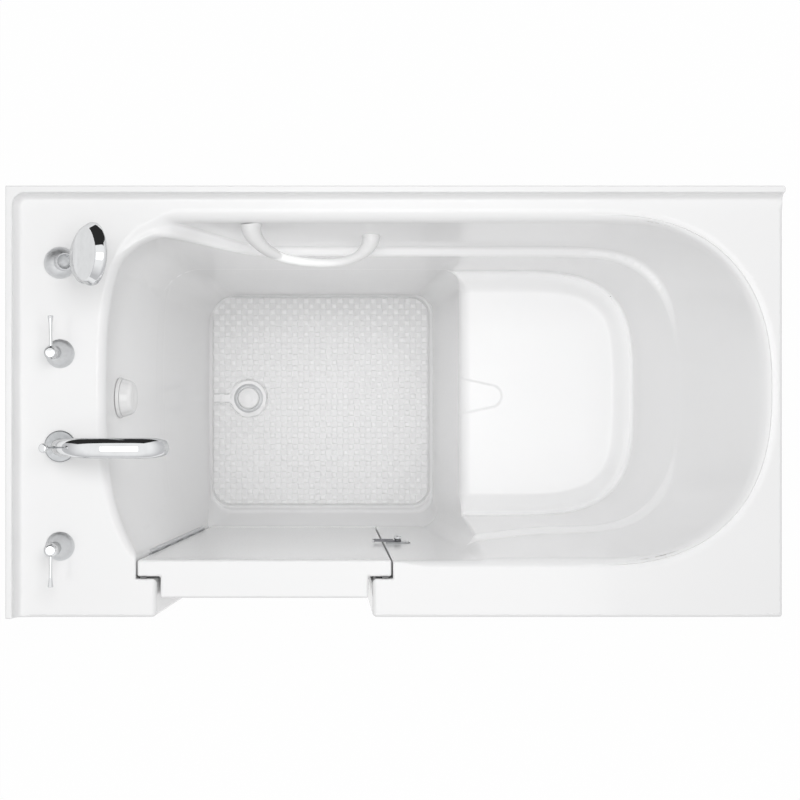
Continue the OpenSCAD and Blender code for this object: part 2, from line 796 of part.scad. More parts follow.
module bar_bolt_bore() {
    translate([0, 0, -cut]) cylinder(r = bar_bolt_r, h = bar_bolt_in + cut);
}
module bar_bolt() {
    back = shell_t + 0.7;
    translate([0, 0, -back - 8]) cylinder(r = bar_bolt_r, h = back + 8 + bar_bolt_in);
    translate([0, 0, -back - 2]) cylinder(r = 12, h = 2);
    translate([0, 0, -back - 8]) cylinder(r = 8, h = 6, $fn = 6);
}
module grab_bar_bolts() {
    color(chrome) {
        on_recess_wall(bar_x0, bar_drop_high) bar_bolt();
        on_recess_wall(bar_x1, bar_drop_low) bar_bolt();
    }
}

// Waste
drain_ring_t = 3;
gasket_t = 3;
floor_under = floor_z - shell_t;
cup_h = 44;
cup_z0 = floor_under - gasket_t - cup_h;
pipe_z = cup_z0 + cup_h / 2;
stopper_z = floor_z + 1.3;
stopper_stem = 32;
tee_x = overflow_x - 52;
tee_r = waste_r + 3;
tail_l = 36;
tail_spigot = 10;
tee_leg = 30;
riser_r = waste_r - 1;
overflow_cup_r = 28;
overflow_back = shell_t + 1.4;
cable_r = 2.5;
gland_r = 5;
gland_drop = 12;
gland_in = 12;
cable_y = tee_r + cable_r + 1;
cable_bend = 15;
module at_drain(z) {
    translate([drain_x, waste_y, z]) children();
}
module drain_flange() {
    color(chrome) at_drain(0) difference() {
        union() {
            translate([0, 0, floor_z]) cylinder(r1 = drain_r, r2 = drain_r - 1.5, h = drain_ring_t);
            translate([0, 0, cup_z0 + 14]) cylinder(r = throat_r + 2, h = floor_z - cup_z0 - 14);
        }
        translate([0, 0, cup_z0]) cylinder(r = throat_r, h = 100);
        translate([0, 0, floor_z + 1]) cylinder(r = stopper_r + 0.4, h = 20);
    }
}
module drain_stopper() {
    color(white) at_drain(stopper_z) {
        rotate_extrude() polygon(concat([[0, 0], [stopper_r, 0]],
            [for (i = [0 : 5]) [stopper_r * cos(18 * i), 2 + 3 * sin(18 * i)]]));
        translate([0, 0, -stopper_stem]) cylinder(r = 4, h = stopper_stem + 1);
    }
}
module drain_gasket() {
    color("dimgray") at_drain(floor_under - gasket_t) difference() {
        cylinder(r = drain_r, h = gasket_t);
        translate([0, 0, -cut]) cylinder(r = throat_r + 2, h = gasket_t + 2 * cut);
    }
}
module drain_body() {
    color("dimgray") at_drain(cup_z0) {
        difference() {
            cylinder(r = drain_r, h = cup_h);
            translate([0, 0, 4]) cylinder(r = throat_r + 2, h = cup_h);
            translate([0, 0, pipe_z - cup_z0]) rotate([0, -90, 0]) cylinder(r = waste_r - 3, h = 50);
            translate([0, 0, pipe_z - cup_z0]) rotate([0, -90, 0]) translate([0, 0, drain_r - 6])
                cylinder(r = waste_r, h = 50);
            translate([-gland_in, cable_y, pipe_z - cup_z0]) rotate([0, -90, 0])
                cylinder(r = cable_r, h = 40);
        }
        translate([0, 0, 3]) cylinder(r = 3, h = stopper_z - stopper_stem - 0.3 - cup_z0 - 3);
    }
}
module waste_tube(l, r = waste_r) {
    difference() {
        cylinder(r = r, h = l);
        translate([0, 0, -cut]) cylinder(r = r - 2.5, h = l + 2 * cut);
    }
}
module drain_pipe() {
    color("dimgray") translate([tee_x + tee_r + 4, waste_y, pipe_z]) rotate([0, 90, 0])
        waste_tube(drain_x - drain_r + 6 - tee_x - tee_r - 4);
}
module waste_tee() {
    color("dimgray") translate([tee_x, waste_y, pipe_z]) difference() {
        union() {
            translate([0, 0, -tee_leg]) cylinder(r = tee_r, h = 78);
            rotate([0, 90, 0]) cylinder(r = tee_r, h = tee_r + 18);
        }
        translate([0, 0, -50]) cylinder(r = waste_r - 3, h = 120);
        rotate([0, 90, 0]) cylinder(r = waste_r - 3, h = 80);
        translate([0, 0, -tee_leg - cut]) cylinder(r = riser_r, h = tail_spigot + cut);
        translate([0, 0, tee_r + 8]) cylinder(r = riser_r, h = 40);
        translate([tee_r + 4, 0, 0]) rotate([0, 90, 0]) cylinder(r = waste_r, h = 40);
    }
}
module waste_tailpiece() {
    color(chrome) translate([tee_x, waste_y, pipe_z - tee_leg + tail_spigot - tail_l]) difference() {
        union() {
            cylinder(r = waste_r, h = tail_l - tail_spigot);
            cylinder(r = riser_r, h = tail_l);
        }
        translate([0, 0, -cut]) cylinder(r = riser_r - 2.5, h = tail_l + 2 * cut);
    }
}
module overflow_pipe() {
    color("dimgray") translate([tee_x, waste_y, pipe_z + tee_r + 8])
        waste_tube(overflow_z - overflow_cup_r + 4 - pipe_z - tee_r - 8, riser_r);
}
module overflow_body() {
    color("dimgray") difference() {
        union() {
            on_left_wall() translate([0, 0, -overflow_back - 8]) cylinder(r = overflow_cup_r, h = 8);
            translate([tee_x, waste_y, overflow_z - overflow_cup_r - 4]) cylinder(r = tee_r, h = overflow_cup_r + 16);
            on_left_wall() translate([0, 0, -58]) cylinder(r = overflow_hole_r - 2, h = 50);
            on_left_wall() translate([0, 0, -20]) cylinder(r = overflow_hole_r, h = 20);
            translate([tee_x, waste_y + cable_y, overflow_z - gland_drop]) cylinder(r = gland_r, h = 10);
        }
        on_left_wall() translate([0, 0, -52]) cylinder(r = overflow_hole_r - 4, h = 60);
        translate([tee_x, waste_y, overflow_z - overflow_cup_r - 5]) cylinder(r = riser_r, h = 9);
        translate([tee_x, waste_y, overflow_z - overflow_cup_r]) cylinder(r = waste_r - 3, h = 30);
    }
}
plate_t = 6;
knob_t = 20;
spindle_r = 4;
module overflow_plate() {
    color(white) on_left_wall() {
        difference() {
            cylinder(r1 = overflow_r, r2 = overflow_r - 3, h = plate_t);
            translate([0, 0, -cut]) cylinder(r = 17, h = plate_t - 1);
        }
        translate([0, 0, plate_t - 1]) cylinder(r = spindle_r, h = 12);
    }
}
module overflow_knob() {
    color(white) on_left_wall() translate([0, 0, plate_t + 0.3]) difference() {
        rotate_extrude() polygon([[0, 0], [knob_r - 2, 0], [knob_r, 3], [knob_r - 1, knob_t - 5],
            [knob_r - 5, knob_t], [0, knob_t]]);
        translate([0, 0, -cut]) cylinder(r = spindle_r + 0.06, h = 13);
    }
}
module drain_cable() {
    drop_x = tee_x;
    low = pipe_z;
    top = overflow_z - gland_drop;
    color("black") translate([drop_x, waste_y + cable_y, 0]) {
        translate([0, 0, low + cable_bend]) cylinder(r = cable_r, h = top - low - cable_bend);
        translate([cable_bend, 0, low + cable_bend]) rotate([90, 180, 0])
            rotate_extrude(angle = 90) translate([cable_bend, 0]) circle(r = cable_r);
        translate([cable_bend, 0, low]) rotate([0, 90, 0])
            cylinder(r = cable_r, h = drain_x - gland_in - drop_x - cable_bend);
    }
}

// Taps
module at_tap(y) {
    translate([tap_x, y, deck_h]) children();
}
module bell_profile() {
    polygon(concat([[0, 0], [bell_r, 0], [bell_r, 4]],
        [for (i = [0 : 8]) let (s = i / 8)
            [mix(bell_r - 2, 11.5, sqrt(s)), mix(6, bell_h, s)]],
        [[0, bell_h]]));
}
module tap_base(y) {
    color(chrome) at_tap(y) difference() {
        rotate_extrude() bell_profile();
        translate([0, 0, -cut]) cylinder(r = shank_r - 3, h = bell_h - 5);
        translate([0, 0, -cut]) cylinder(r = stem_r + 0.5, h = bell_h + 2 * cut);
    }
}
// Handle with its lever to +Y (turn = 0) or to -Y (turn = 180)
module tap_handle(y, turn) {
    hub_r = 11;
    top = lever_h + 5;
    color(chrome) at_tap(y) rotate([0, 0, turn]) difference() {
        union() {
            translate([0, 0, bell_h + 0.3]) cylinder(r = hub_r, h = top - bell_h - 3);
            translate([0, 0, top - 2.7]) cylinder(r1 = hub_r, r2 = hub_r - 3, h = 2.7);
            hull() {
                translate([0, 4, lever_h]) rotate([-90, 0, 0]) cylinder(r = 3.6, h = 1);
                translate([0, lever_l * 0.7, lever_h + 2]) rotate([-90, 0, 0]) cylinder(r = 2.4, h = 1);
            }
            hull() {
                translate([0, lever_l * 0.7, lever_h + 2]) rotate([-90, 0, 0]) cylinder(r = 2.4, h = 1);
                translate([0, lever_l - 3.6, lever_h + 3]) sphere(r = 3.6);
            }
        }
        translate([0, 0, bell_h - cut]) cylinder(r = stem_r + stem_fit, h = top - bell_h - 12);
    }
}
module tap_valve(y) {
    side = sign(spout_y - y);
    color("goldenrod") at_tap(y) {
        difference() {
            translate([0, 0, -shell_t - valve_drop - valve_l]) cylinder(r = valve_r, h = valve_l);
            translate([0, side * crossover_in, cross_z - deck_h]) rotate([-90 * side, 0, 0])
                cylinder(r = crossover_r, h = valve_r);
        }
        translate([0, 0, -shell_t - valve_drop])
            cylinder(r = shank_r - neck_in, h = shell_t + valve_drop + neck_up);
        cylinder(r = stem_r, h = lever_h - stem_down);
        translate([0, 0, -shell_t - valve_drop - valve_l - inlet_l]) cylinder(r = inlet_r, h = inlet_l);
    }
}
module deck_nuts() {
    color(chrome) {
        for (y = [hot_y, cold_y])
            translate([tap_x, y, deck_under - nut_h]) difference() {
                cylinder(r = nut_r, h = nut_h, $fn = 6);
                translate([0, 0, -cut]) cylinder(r = shank_r - 3.5, h = nut_h + 2 * cut);
            }
        for (y = [shower_y, spout_y])
            translate([tap_x, y, deck_under - nut_h]) difference() {
                cylinder(r = nut_r, h = nut_h, $fn = 6);
                translate([0, 0, -cut]) cylinder(r = shank_r, h = nut_h + 2 * cut);
            }
    }
}
module mixing_tee() {
    color("goldenrod") at_tap(spout_y) difference() {
        translate([0, 0, -shell_t - 54]) cylinder(r = valve_r + 2, h = 43);
        translate([0, 0, -shell_t - 30]) cylinder(r = shank_r, h = 40);
        translate([0, 0, cross_z - deck_h]) rotate([90, 0, 0]) cylinder(r = crossover_r, h = 80, center = true);
    }
}
module crossover(ya, yb) {
    color("peru") translate([tap_x, ya, cross_z]) rotate([-90, 0, 0]) difference() {
        cylinder(r = crossover_r, h = yb - ya);
        translate([0, 0, -cut]) cylinder(r = crossover_r - 1, h = yb - ya + 2 * cut);
    }
}
module hot_crossover() {
    crossover(spout_y + shank_r + 1, hot_y - crossover_in);
}
module cold_crossover() {
    crossover(cold_y + crossover_in, spout_y - shank_r - 1);
}

// Spout: a round neck that widens to a flat, rounded tip
neck_r = 11;
tip_r = 17;
rod_r = 2.5;
diverter_lean = 11;
diverter_in = 14;
diverter_out = 64;
diverter_ball_r = 7.5;
module spout_ball(reach, up, w, h) {
    at_tap(spout_y) translate([reach, 0, up]) scale([h, w, h]) sphere(r = 1, $fn = 28);
}
module spout() {
    color(chrome) difference() {
        union() {
            at_tap(spout_y) rotate_extrude() polygon([[0, 0], [base_r, 0], [base_r, 4],
                [base_r - 3, 8], [neck_r + 6, 13], [0, 13]]);
            at_tap(spout_y) translate([0, 0, -shell_t - 28]) cylinder(r = shank_r, h = shell_t + 29);
            hull() {
                spout_ball(0, 8, neck_r + 2, neck_r + 2);
                spout_ball(spout_reach * 0.1, spout_h * 0.55, neck_r + 1, neck_r + 1);
            }
            hull() {
                spout_ball(spout_reach * 0.1, spout_h * 0.55, neck_r + 1, neck_r + 1);
                spout_ball(spout_reach * 0.26, spout_h * 0.84, neck_r + 1, neck_r);
            }
            hull() {
                spout_ball(spout_reach * 0.26, spout_h * 0.84, neck_r + 1, neck_r);
                spout_ball(spout_reach * 0.5, spout_h - neck_r, neck_r + 3, neck_r - 1);
            }
            hull() {
                spout_ball(spout_reach * 0.5, spout_h - neck_r, neck_r + 3, neck_r - 1);
                spout_ball(spout_reach * 0.76, spout_h - neck_r - 4, tip_r - 1, neck_r - 2);
            }
            hull() {
                spout_ball(spout_reach * 0.76, spout_h - neck_r - 4, tip_r - 1, neck_r - 2);
                spout_ball(spout_reach - tip_r + 2, spout_h - neck_r - 16, tip_r, neck_r - 2);
            }
        }
        on_diverter() translate([0, 0, -diverter_in]) cylinder(r = rod_r + 0.3, h = 80);
    }
}
// Diverter rod, leaning back out of the spout's neck
module on_diverter() {
    at_tap(spout_y) translate([6, 0, 50]) rotate([0, -diverter_lean, 0]) children();
}
module diverter_knob() {
    color(chrome) on_diverter() {
        translate([0, 0, -diverter_in + 0.3]) cylinder(r = rod_r, h = diverter_in + diverter_out - 0.3);
        translate([0, 0, diverter_out]) sphere(r = diverter_ball_r);
    }
}

// Hand shower in its leaning holder
module on_shower() {
    at_tap(shower_y) rotate([0, shower_lean, 0]) children();
}
socket_in = 12;
socket_out = 34;
module shower_holder() {
    color(chrome) difference() {
        union() {
            at_tap(shower_y) rotate_extrude() polygon(concat([[0, 0], [base_r, 0], [base_r, 4]],
                [for (i = [1 : 6]) [base_r * cos(12 * i), 4 + 18 * sin(12 * i)]], [[0, 22]]));
            difference() {
                on_shower() cylinder(r = grip_r + 3.5, h = socket_out);
                at_tap(shower_y) translate([-base_r, -base_r, -20]) cube([2 * base_r, 2 * base_r, 20]);
            }
            at_tap(shower_y) translate([0, 0, -shell_t - 22]) cylinder(r = shank_r, h = shell_t + 23);
        }
        on_shower() translate([0, 0, socket_in]) cylinder(r = grip_r + 0.4, h = 60);
        at_tap(shower_y) translate([0, 0, -60]) cylinder(r = 8, h = 68);
    }
}
spray_tilt = 34.3;
module on_head() {
    on_shower() translate([0, 0, shower_l]) rotate([0, 90 + spray_tilt - shower_lean, 0]) children();
}
module hand_shower() {
    color(chrome) {
        on_shower() translate([0, 0, socket_in + 0.3]) cylinder(r = grip_r, h = shower_l - 61 - socket_in);
        difference() {
            hull() {
                on_shower() translate([0, 0, shower_l - 62]) cylinder(r = grip_r + 0.8, h = 4);
                on_shower() translate([0, 0, shower_l - 48]) cylinder(r = grip_r + 7, h = 4);
                on_head() translate([0, 0, -head_t * 0.5])
                    cylinder(r1 = head_r - 9, r2 = head_r - 1, h = head_t * 0.7);
            }
            on_head() translate([0, 0, head_t * 0.5]) cylinder(r = head_r - 4, h = head_r);
        }
        on_head() translate([0, 0, head_t * 0.1]) cylinder(r = head_r, h = head_t * 0.4);
    }
}
module shower_face() {
    color("gainsboro") on_head() translate([0, 0, head_t * 0.5]) cylinder(r1 = head_r - 5, r2 = head_r - 7, h = 2);
}

tub_shell();
apron_panel_left();
apron_panel_right();
apron_panel_sill();
apron_panel_end();
apron_screws();
frame_rail_front();
frame_rail_back();
frame_cross(cross_x[0]);  // frame_cross_left
frame_cross(cross_x[1]);  // frame_cross_middle
frame_end(post_x[0]);  // frame_end_left
frame_end(post_x[1]);  // frame_end_right
post(post_x[0], post_y[0]);  // post_front_left
post(post_x[1], post_y[0]);  // post_front_right
post(post_x[0], post_y[1]);  // post_back_left
post(post_x[1], post_y[1]);  // post_back_right
seat_bar(seat_bar_x[0]);  // seat_bar_front
seat_bar(seat_bar_x[1]);  // seat_bar_rear
seat_legs();
foot_pads();
foot_studs();
foot_nuts();
door_inner_panel();
door_outer_panel();
door_seal();
hinge_frame_leaf();
hinge_door_leaf();
hinge_pin();
latch_base();
latch_arm();
latch_knob();
grab_bar();
grab_bar_bolts();
drain_flange();
drain_stopper();
drain_gasket();
drain_body();
drain_pipe();
waste_tee();
waste_tailpiece();
overflow_pipe();
overflow_body();
overflow_plate();
overflow_knob();
drain_cable();
spout();
diverter_knob();
tap_base(hot_y);  // hot_base
tap_handle(hot_y, 0);  // hot_handle
tap_valve(hot_y);  // hot_valve
tap_base(cold_y);  // cold_base
tap_handle(cold_y, 180);  // cold_handle
tap_valve(cold_y);  // cold_valve
mixing_tee();
hot_crossover();
cold_crossover();
shower_holder();
hand_shower();
shower_face();
deck_nuts();
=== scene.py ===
"""Looks of the walk-in bath: moulded shell, door, chrome fittings, floor tread, light and camera."""
import math

import bpy
import numpy as np
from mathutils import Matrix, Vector
from numpy.linalg import norm


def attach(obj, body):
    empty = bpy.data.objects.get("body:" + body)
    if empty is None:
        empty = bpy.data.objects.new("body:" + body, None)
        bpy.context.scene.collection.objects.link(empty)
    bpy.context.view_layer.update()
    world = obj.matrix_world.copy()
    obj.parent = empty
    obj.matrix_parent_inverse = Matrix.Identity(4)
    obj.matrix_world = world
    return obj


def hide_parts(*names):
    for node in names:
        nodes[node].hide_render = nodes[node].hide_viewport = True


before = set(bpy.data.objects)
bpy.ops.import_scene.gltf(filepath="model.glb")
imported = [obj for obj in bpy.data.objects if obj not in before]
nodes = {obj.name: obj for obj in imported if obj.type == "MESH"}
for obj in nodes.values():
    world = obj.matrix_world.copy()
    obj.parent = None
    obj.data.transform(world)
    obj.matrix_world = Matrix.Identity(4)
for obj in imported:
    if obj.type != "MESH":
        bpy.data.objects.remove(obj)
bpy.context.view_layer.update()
MM = 0.001

# Main sizes of the bath in millimetres, as in the part's source
DECK = 965.0
X0, X1, Y0, Y1 = -686.0, 686.0, -381.0, 381.0
BLOCK_Z, FLOOR_Z, SILL_Z, SEAT_Z, CREASE_Z, LEDGE_Z = 60.0, 105.0, 181.0, 537.0, 555.0, 740.0
SKIRT_Z, FLANGE_Z, FLANGE_T = DECK - 40, 990.0, 24.0
FRONT_Y = -279.5
# Basin walls at the floor and at the deck
LEFT_LOW, LEFT_HIGH, BACK_LOW, BACK_HIGH = -425.0, -516.0, 242.0, 289.0
RISER_X, RISER_SLOPE = 82.0, 0.1111
# Outlines of the seat and the rim: middle, half sizes and power
SEAT_X, SEAT_Y, SEAT_A, SEAT_B, SEAT_N = 210.0, 18.0, 268.0, 246.0, 3.5
RIM_X, RIM_Y, RIM_A, RIM_B, RIM_N = 360.0, 22.0, 298.0, 301.0, 2.45
# Where the beads and grooves run beside the rim, the seat, the tread and the keyhole
RIM_BEAD, SEAT_LIP, TREAD_BEAD, TREAD_GROOVE, KEY_GROOVE = 9.4, -7.0, 7.0, 1.6, 2.2
DOOR_X0, DOOR_X1, DOOR_Z0 = -458.0, -7.0, 184.0
DOOR_STEP_Y, DOOR_Y0 = -309.0, -347.0
BODY_Z0 = 208.0
DOOR_LAP, JAMB_GAP, DOOR_GAP = 41.0, 7.0, 2.5
REBATE_Y = -313.0
TAPER = math.tan(math.radians(3))
TAPER_COS = math.cos(math.radians(3))
TAP_X = -594.0
DRAIN_X, WASTE_Y = -337.0, 8.0
SHELL_T = 6.0


def lerp(a, b, t):
    return a + (b - a) * t


def smooth(lo, hi, v):
    t = np.clip((v - lo) / (hi - lo), 0, 1)
    return t * t * (3 - 2 * t)


def hump(v, middle, width):
    return np.exp(-((v - middle) / width) ** 2)


def join(a, b, r):
    """Union of two signed distances with a round fillet."""
    u = np.maximum(r - a, 0)
    v = np.maximum(r - b, 0)
    return np.maximum(r, np.minimum(a, b)) - np.sqrt(u * u + v * v)


def meet(a, b, r):
    """Intersection of two signed distances with a round edge."""
    u = np.maximum(r + a, 0)
    v = np.maximum(r + b, 0)
    return np.minimum(-r, np.maximum(a, b)) + np.sqrt(u * u + v * v)


def oval(x, y, xc, yc, a, b, n):
    """Distance to an outline that is straight left of xc and a superellipse right of it."""
    u = np.maximum(x - xc, 0) / a
    v = np.maximum(np.abs(y - yc), 1e-3) / b
    un, vn = u ** (n - 1), v ** (n - 1)
    s = un * u + vn * v
    rho = s ** (1 / n)
    steep = np.sqrt((un / a) ** 2 + (vn / b) ** 2) / np.maximum(rho, 1e-6) ** (n - 1)
    return np.clip((rho - 1) / np.maximum(steep, 1e-5), -400, 400)


def seat_ring(x, y):
    """Plan distance to the crease round the seat, negative inside."""
    return oval(x, y, SEAT_X, SEAT_Y, SEAT_A, SEAT_B, SEAT_N)


def seat_height(x, y):
    ring = seat_ring(x, y)
    h = SEAT_Z + 17 * smooth(-44, -9, ring) + 1.2 * hump(ring, SEAT_LIP, 3.0) - 1.0 * smooth(-6, 0, ring)
    # Tongue-shaped hand grip in the front edge
    return h - 3.0 * smooth(3, -3, tongue_edge(x, y))


TREAD = (-416.8, 71.8, -233.1, 236.6)
TREAD_R = 40.0


def tread_field(x, y):
    """Plan distance to the outline of the tread, negative inside."""
    u = np.abs(x - (TREAD[0] + TREAD[1]) / 2) - (TREAD[1] - TREAD[0]) / 2 + TREAD_R
    v = np.abs(y - (TREAD[2] + TREAD[3]) / 2) - (TREAD[3] - TREAD[2]) / 2 + TREAD_R
    return np.hypot(np.maximum(u, 0), np.maximum(v, 0)) + np.minimum(np.maximum(u, v), 0) - TREAD_R


def tongue_edge(x, y):
    """Plan distance to the hand grip in the seat's front edge, negative inside."""
    sides = (np.abs(y - 12) - 36.5 + 13.5 * (x - 130) / 60) * 0.976
    tip = (np.hypot((x - 190) / 24, (y - 12) / 23) - 1) * 23
    return np.where(x < 190, sides, tip)


def keyhole(x, y):
    """Plan distance to the plain keyhole round the drain and out to the left, negative inside."""
    slot = np.maximum(np.abs(y - WASTE_Y) - 8.5, x - DRAIN_X)
    return join(np.hypot(x - DRAIN_X, y - WASTE_Y) - 40.5, slot, 8.0)


def rim_oval(x, y):
    """Plan distance to the rim's outline at the seat end."""
    return oval(x, y, RIM_X, RIM_Y, RIM_A, RIM_B, RIM_N)


def void_field(x, y, z):
    """Hollow of the basin, negative inside it."""
    up = np.clip((z - FLOOR_Z) / (DECK - FLOOR_Z), -0.1, 1.1)
    bow = 58 * (np.abs(y - 20) / 294) ** 3.2
    left = (lerp(LEFT_LOW + 0.12 * bow, LEFT_HIGH + bow, up) - x) * 0.99
    back = (y - lerp(BACK_LOW, BACK_HIGH, up)) * 0.998
    riser = (x - (RISER_X + RISER_SLOPE * (z - FLOOR_Z))) * 0.994
    # Slope from the sill down to the floor
    drop, run, slant = 76.0, 27.5, 80.8
    sill = -((y - FRONT_Y) * drop + (z - SILL_Z) * run) / slant
    front = meet(FRONT_Y - y, sill, 5)
    foot = np.maximum(left, riser)
    foot = meet(foot, back, np.where(x < -150, 60, 40))
    low = np.clip((SILL_Z - z) / drop, 0, 1)
    foot = meet(foot, front, np.where(x < -150, 6 + 42 * low, 40))
    # Bead and groove round the tread, and the keyhole that stands out of it in a groove of its own
    around = tread_field(x, y)
    key = keyhole(x, y)
    relief = 2.0 * hump(around, TREAD_BEAD, 2.2) - 2.0 * hump(around, TREAD_GROOVE, 1.5)
    relief = relief + 1.1 * smooth(1, -1, np.maximum(key, around))
    relief = relief - 0.8 * hump(key, KEY_GROOVE, 1.2) * smooth(1, -1, around)
    foot = meet(foot, FLOOR_Z + relief - z, 7)

    # Seat and backrest, which leans further out towards the rim
    t = np.clip((z - CREASE_Z) / (DECK - CREASE_Z), -0.1, 1.1)
    end = smooth(300, 480, x)
    widen = 22 * (1 - smooth(60, 310, x))
    flare = 0.5 * widen * np.clip((z - CREASE_Z) / (LEDGE_Z - CREASE_Z), 0, 1)
    half = SEAT_B + t * (27 + 28 * end) + flare
    lean = np.maximum(t, 0) * (0.55 + 0.45 * np.maximum(t, 0) ** 1.2)
    seat = oval(x, y, lerp(SEAT_X, RIM_X, lean), lerp(SEAT_Y, RIM_Y, t) - flare,
                lerp(SEAT_A, RIM_A, lean), half, lerp(SEAT_N, RIM_N, t))
    seat = seat * lerp(0.99, lerp(0.97, 0.84, np.clip(t, 0, 1)), end)
    seat = meet(seat, (seat_height(x, y) - z) * 0.94, 6)
    seat = meet(seat, left, np.where(y > 0, 60, 30))
    wall_near = smooth(200, 235, np.abs(y - SEAT_Y))
    apart = smooth(0, 25, np.maximum(foot, seat) - left)
    hollow = join(foot, seat, np.maximum(lerp(24.0, 4.0, wall_near) * apart, 0.01))

    # Armrest ledge, which climbs to the deck at the back left
    t = np.clip((z - LEDGE_Z) / (DECK - LEDGE_Z), -0.15, 1.1)
    ramp = LEDGE_Z + (DECK + 6 - LEDGE_Z) * (1 - smooth(-440, -235, x))
    y_back = lerp(294, 322, t)
    y_front = lerp(-248 - widen, -279, t)
    shelf = oval(x, y, lerp(250, RIM_X, t), (y_back + y_front) / 2, lerp(282, RIM_A, t),
                 (y_back - y_front) / 2, lerp(4.0, RIM_N, t))
    shelf = meet(shelf, left, 62)
    shelf = meet(shelf, (ramp - z) * lerp(0.72, 1.0, smooth(-235, -200, x)), 8)
    apart = smooth(0, 20, np.maximum(hollow, shelf) - left)
    return join(hollow, shelf, np.maximum(lerp(9.0, 5.0, smooth(440, 560, x)) * apart, 0.01))


def trapezium(x, z, xa, xb, za, r):
    """Door-shaped outline in its plane, negative inside."""
    lean = (DECK - z) * TAPER
    side = np.maximum(xa + lean - x, x - xb + lean) * TAPER_COS
    return meet(side, za - z, r)


def door_void(x, y, z):
    rebate = np.maximum(trapezium(x, z, DOOR_X0 - DOOR_GAP, DOOR_X1 + DOOR_GAP, SILL_Z, 3),
                        np.maximum(REBATE_Y - y, y + 268))
    portal = np.maximum(trapezium(x, z, DOOR_X0 + DOOR_LAP - JAMB_GAP, DOOR_X1 - DOOR_LAP + JAMB_GAP,
                                  BODY_Z0 - 3, 5), y + 300)
    return rebate, portal


def deck_top(x, y, z):
    """Deck with its bead at the seat end and the raised flange at the walls."""
    q = rim_oval(x, y)
    bead = 3.6 * smooth(330, 430, x) * smooth(RIM_BEAD + 0.8, RIM_BEAD - 0.8, q) * smooth(-14, 2, q)
    top = z - (DECK + bead)
    u = FLANGE_T - meet(FLANGE_T - (Y1 - y), FLANGE_T - (x - X0), 10)
    scoop = (np.sqrt(((u - FLANGE_T) / 12) ** 2 + ((z - FLANGE_Z) / 25) ** 2) - 1) * 12
    flange = meet(np.maximum(u - FLANGE_T, -scoop), z - FLANGE_Z, 2.4)
    return np.minimum(top, flange)


def shell_field(x, y, z):
    """Solid block with the basin's hollow, negative inside the block."""
    sides = np.maximum(np.maximum(X0 - x, Y0 - y), y - Y1)
    sides = meet(sides, x - X1, 5)
    front_edge = smooth(-300, -340, y)
    right_edge = smooth(640, 670, x)
    flange_near = np.maximum(smooth(340, 352, y), smooth(-645, -657, x))
    edge_r = lerp(lerp(2.5, 5.5, front_edge), 7.0, right_edge)
    edge_r = lerp(edge_r, 2.5, flange_near)
    block = meet(sides, deck_top(x, y, z), edge_r)
    block = np.maximum(block, BLOCK_Z - z)
    rebate, portal = door_void(x, y, z)
    # Radius of the rim: wider at the back and round the seat, tight at the door
    r = lerp(16.0, 20.0, smooth(240, 300, y))
    r = lerp(r, 19.0, smooth(330, 460, x))
    r = lerp(r, 4.0, smooth(-240, -275, y) * (1 - smooth(0, 60, x)) * smooth(-480, -440, x))
    block = meet(block, -void_field(x, y, z), r)
    block = meet(block, -rebate, 3.0)
    return meet(block, -portal, 9.0)


def surface_net(field, grid):
    """Vertices and quads of the zero surface of a field sampled on a grid."""
    inside = field < 0
    shape = [n - 1 for n in field.shape]
    corners = [(i, j, k) for i in (0, 1) for j in (0, 1) for k in (0, 1)]
    windows = [tuple(slice(c, c + n) for c, n in zip(corner, shape)) for corner in corners]
    count = sum(inside[window].astype(np.int8) for window in windows)
    cell = np.argwhere((count > 0) & (count < 8))
    index = np.full(shape, -1)
    index[tuple(cell.T)] = np.arange(len(cell))
    value = {c: field[tuple((cell + c).T)] for c in corners}
    total = np.zeros((len(cell), 3))
    hits = np.zeros(len(cell))
    for a in corners:
        for axis in range(3):
            if a[axis]:
                continue
            b = tuple(1 if i == axis else a[i] for i in range(3))
            va, vb = value[a], value[b]
            crosses = (va < 0) != (vb < 0)
            point = np.tile(np.array(a, float), (len(cell), 1))
            point[:, axis] = va / np.where(crosses, va - vb, 1)
            total[crosses] += point[crosses]
            hits[crosses] += 1
    share = total / hits[:, None]
    co = np.stack([g[c] + s * (g[c + 1] - g[c]) for g, c, s in zip(grid, cell.T, share.T)], 1)
    quads = []
    for axis in range(3):
        across = [(axis + 1) % 3, (axis + 2) % 3]
        a, b = np.delete(inside, -1, axis), np.delete(inside, 0, axis)
        for pick, order in ((a & ~b, 1), (~a & b, -1)):
            edge = np.argwhere(pick)
            edge = edge[((edge > 0) & (edge < shape))[:, across].all(1)]
            ring = []
            for step in ((-1, -1), (0, -1), (0, 0), (-1, 0)):
                e = edge.copy()
                e[:, across] += step
                ring.append(index[tuple(e.T)])
            quads.append(np.stack(ring, 1)[:, ::order])
    return co, np.concatenate(quads)


def field_normals(fn, co, step=0.4):
    grad = np.zeros_like(co)
    for axis in range(3):
        lo, hi = co.copy(), co.copy()
        lo[:, axis] -= step
        hi[:, axis] += step
        grad[:, axis] = (fn(*hi.T) - fn(*lo.T)) / (2 * step)
    size = norm(grad, axis=1)
    return grad / np.maximum(size, 1e-9)[:, None], size


def project(fn, co, rounds=4, cap=3.0):
    for _ in range(rounds):
        normal, size = field_normals(fn, co)
        shift = np.clip(fn(*co.T) / np.maximum(size, 0.2), -cap, cap)
        co = co - normal * shift[:, None]
    return co


def edge_pairs(tri):
    return np.stack([tri[:, [0, 1]], tri[:, [1, 2]], tri[:, [2, 0]]], 1).reshape(-1, 2)


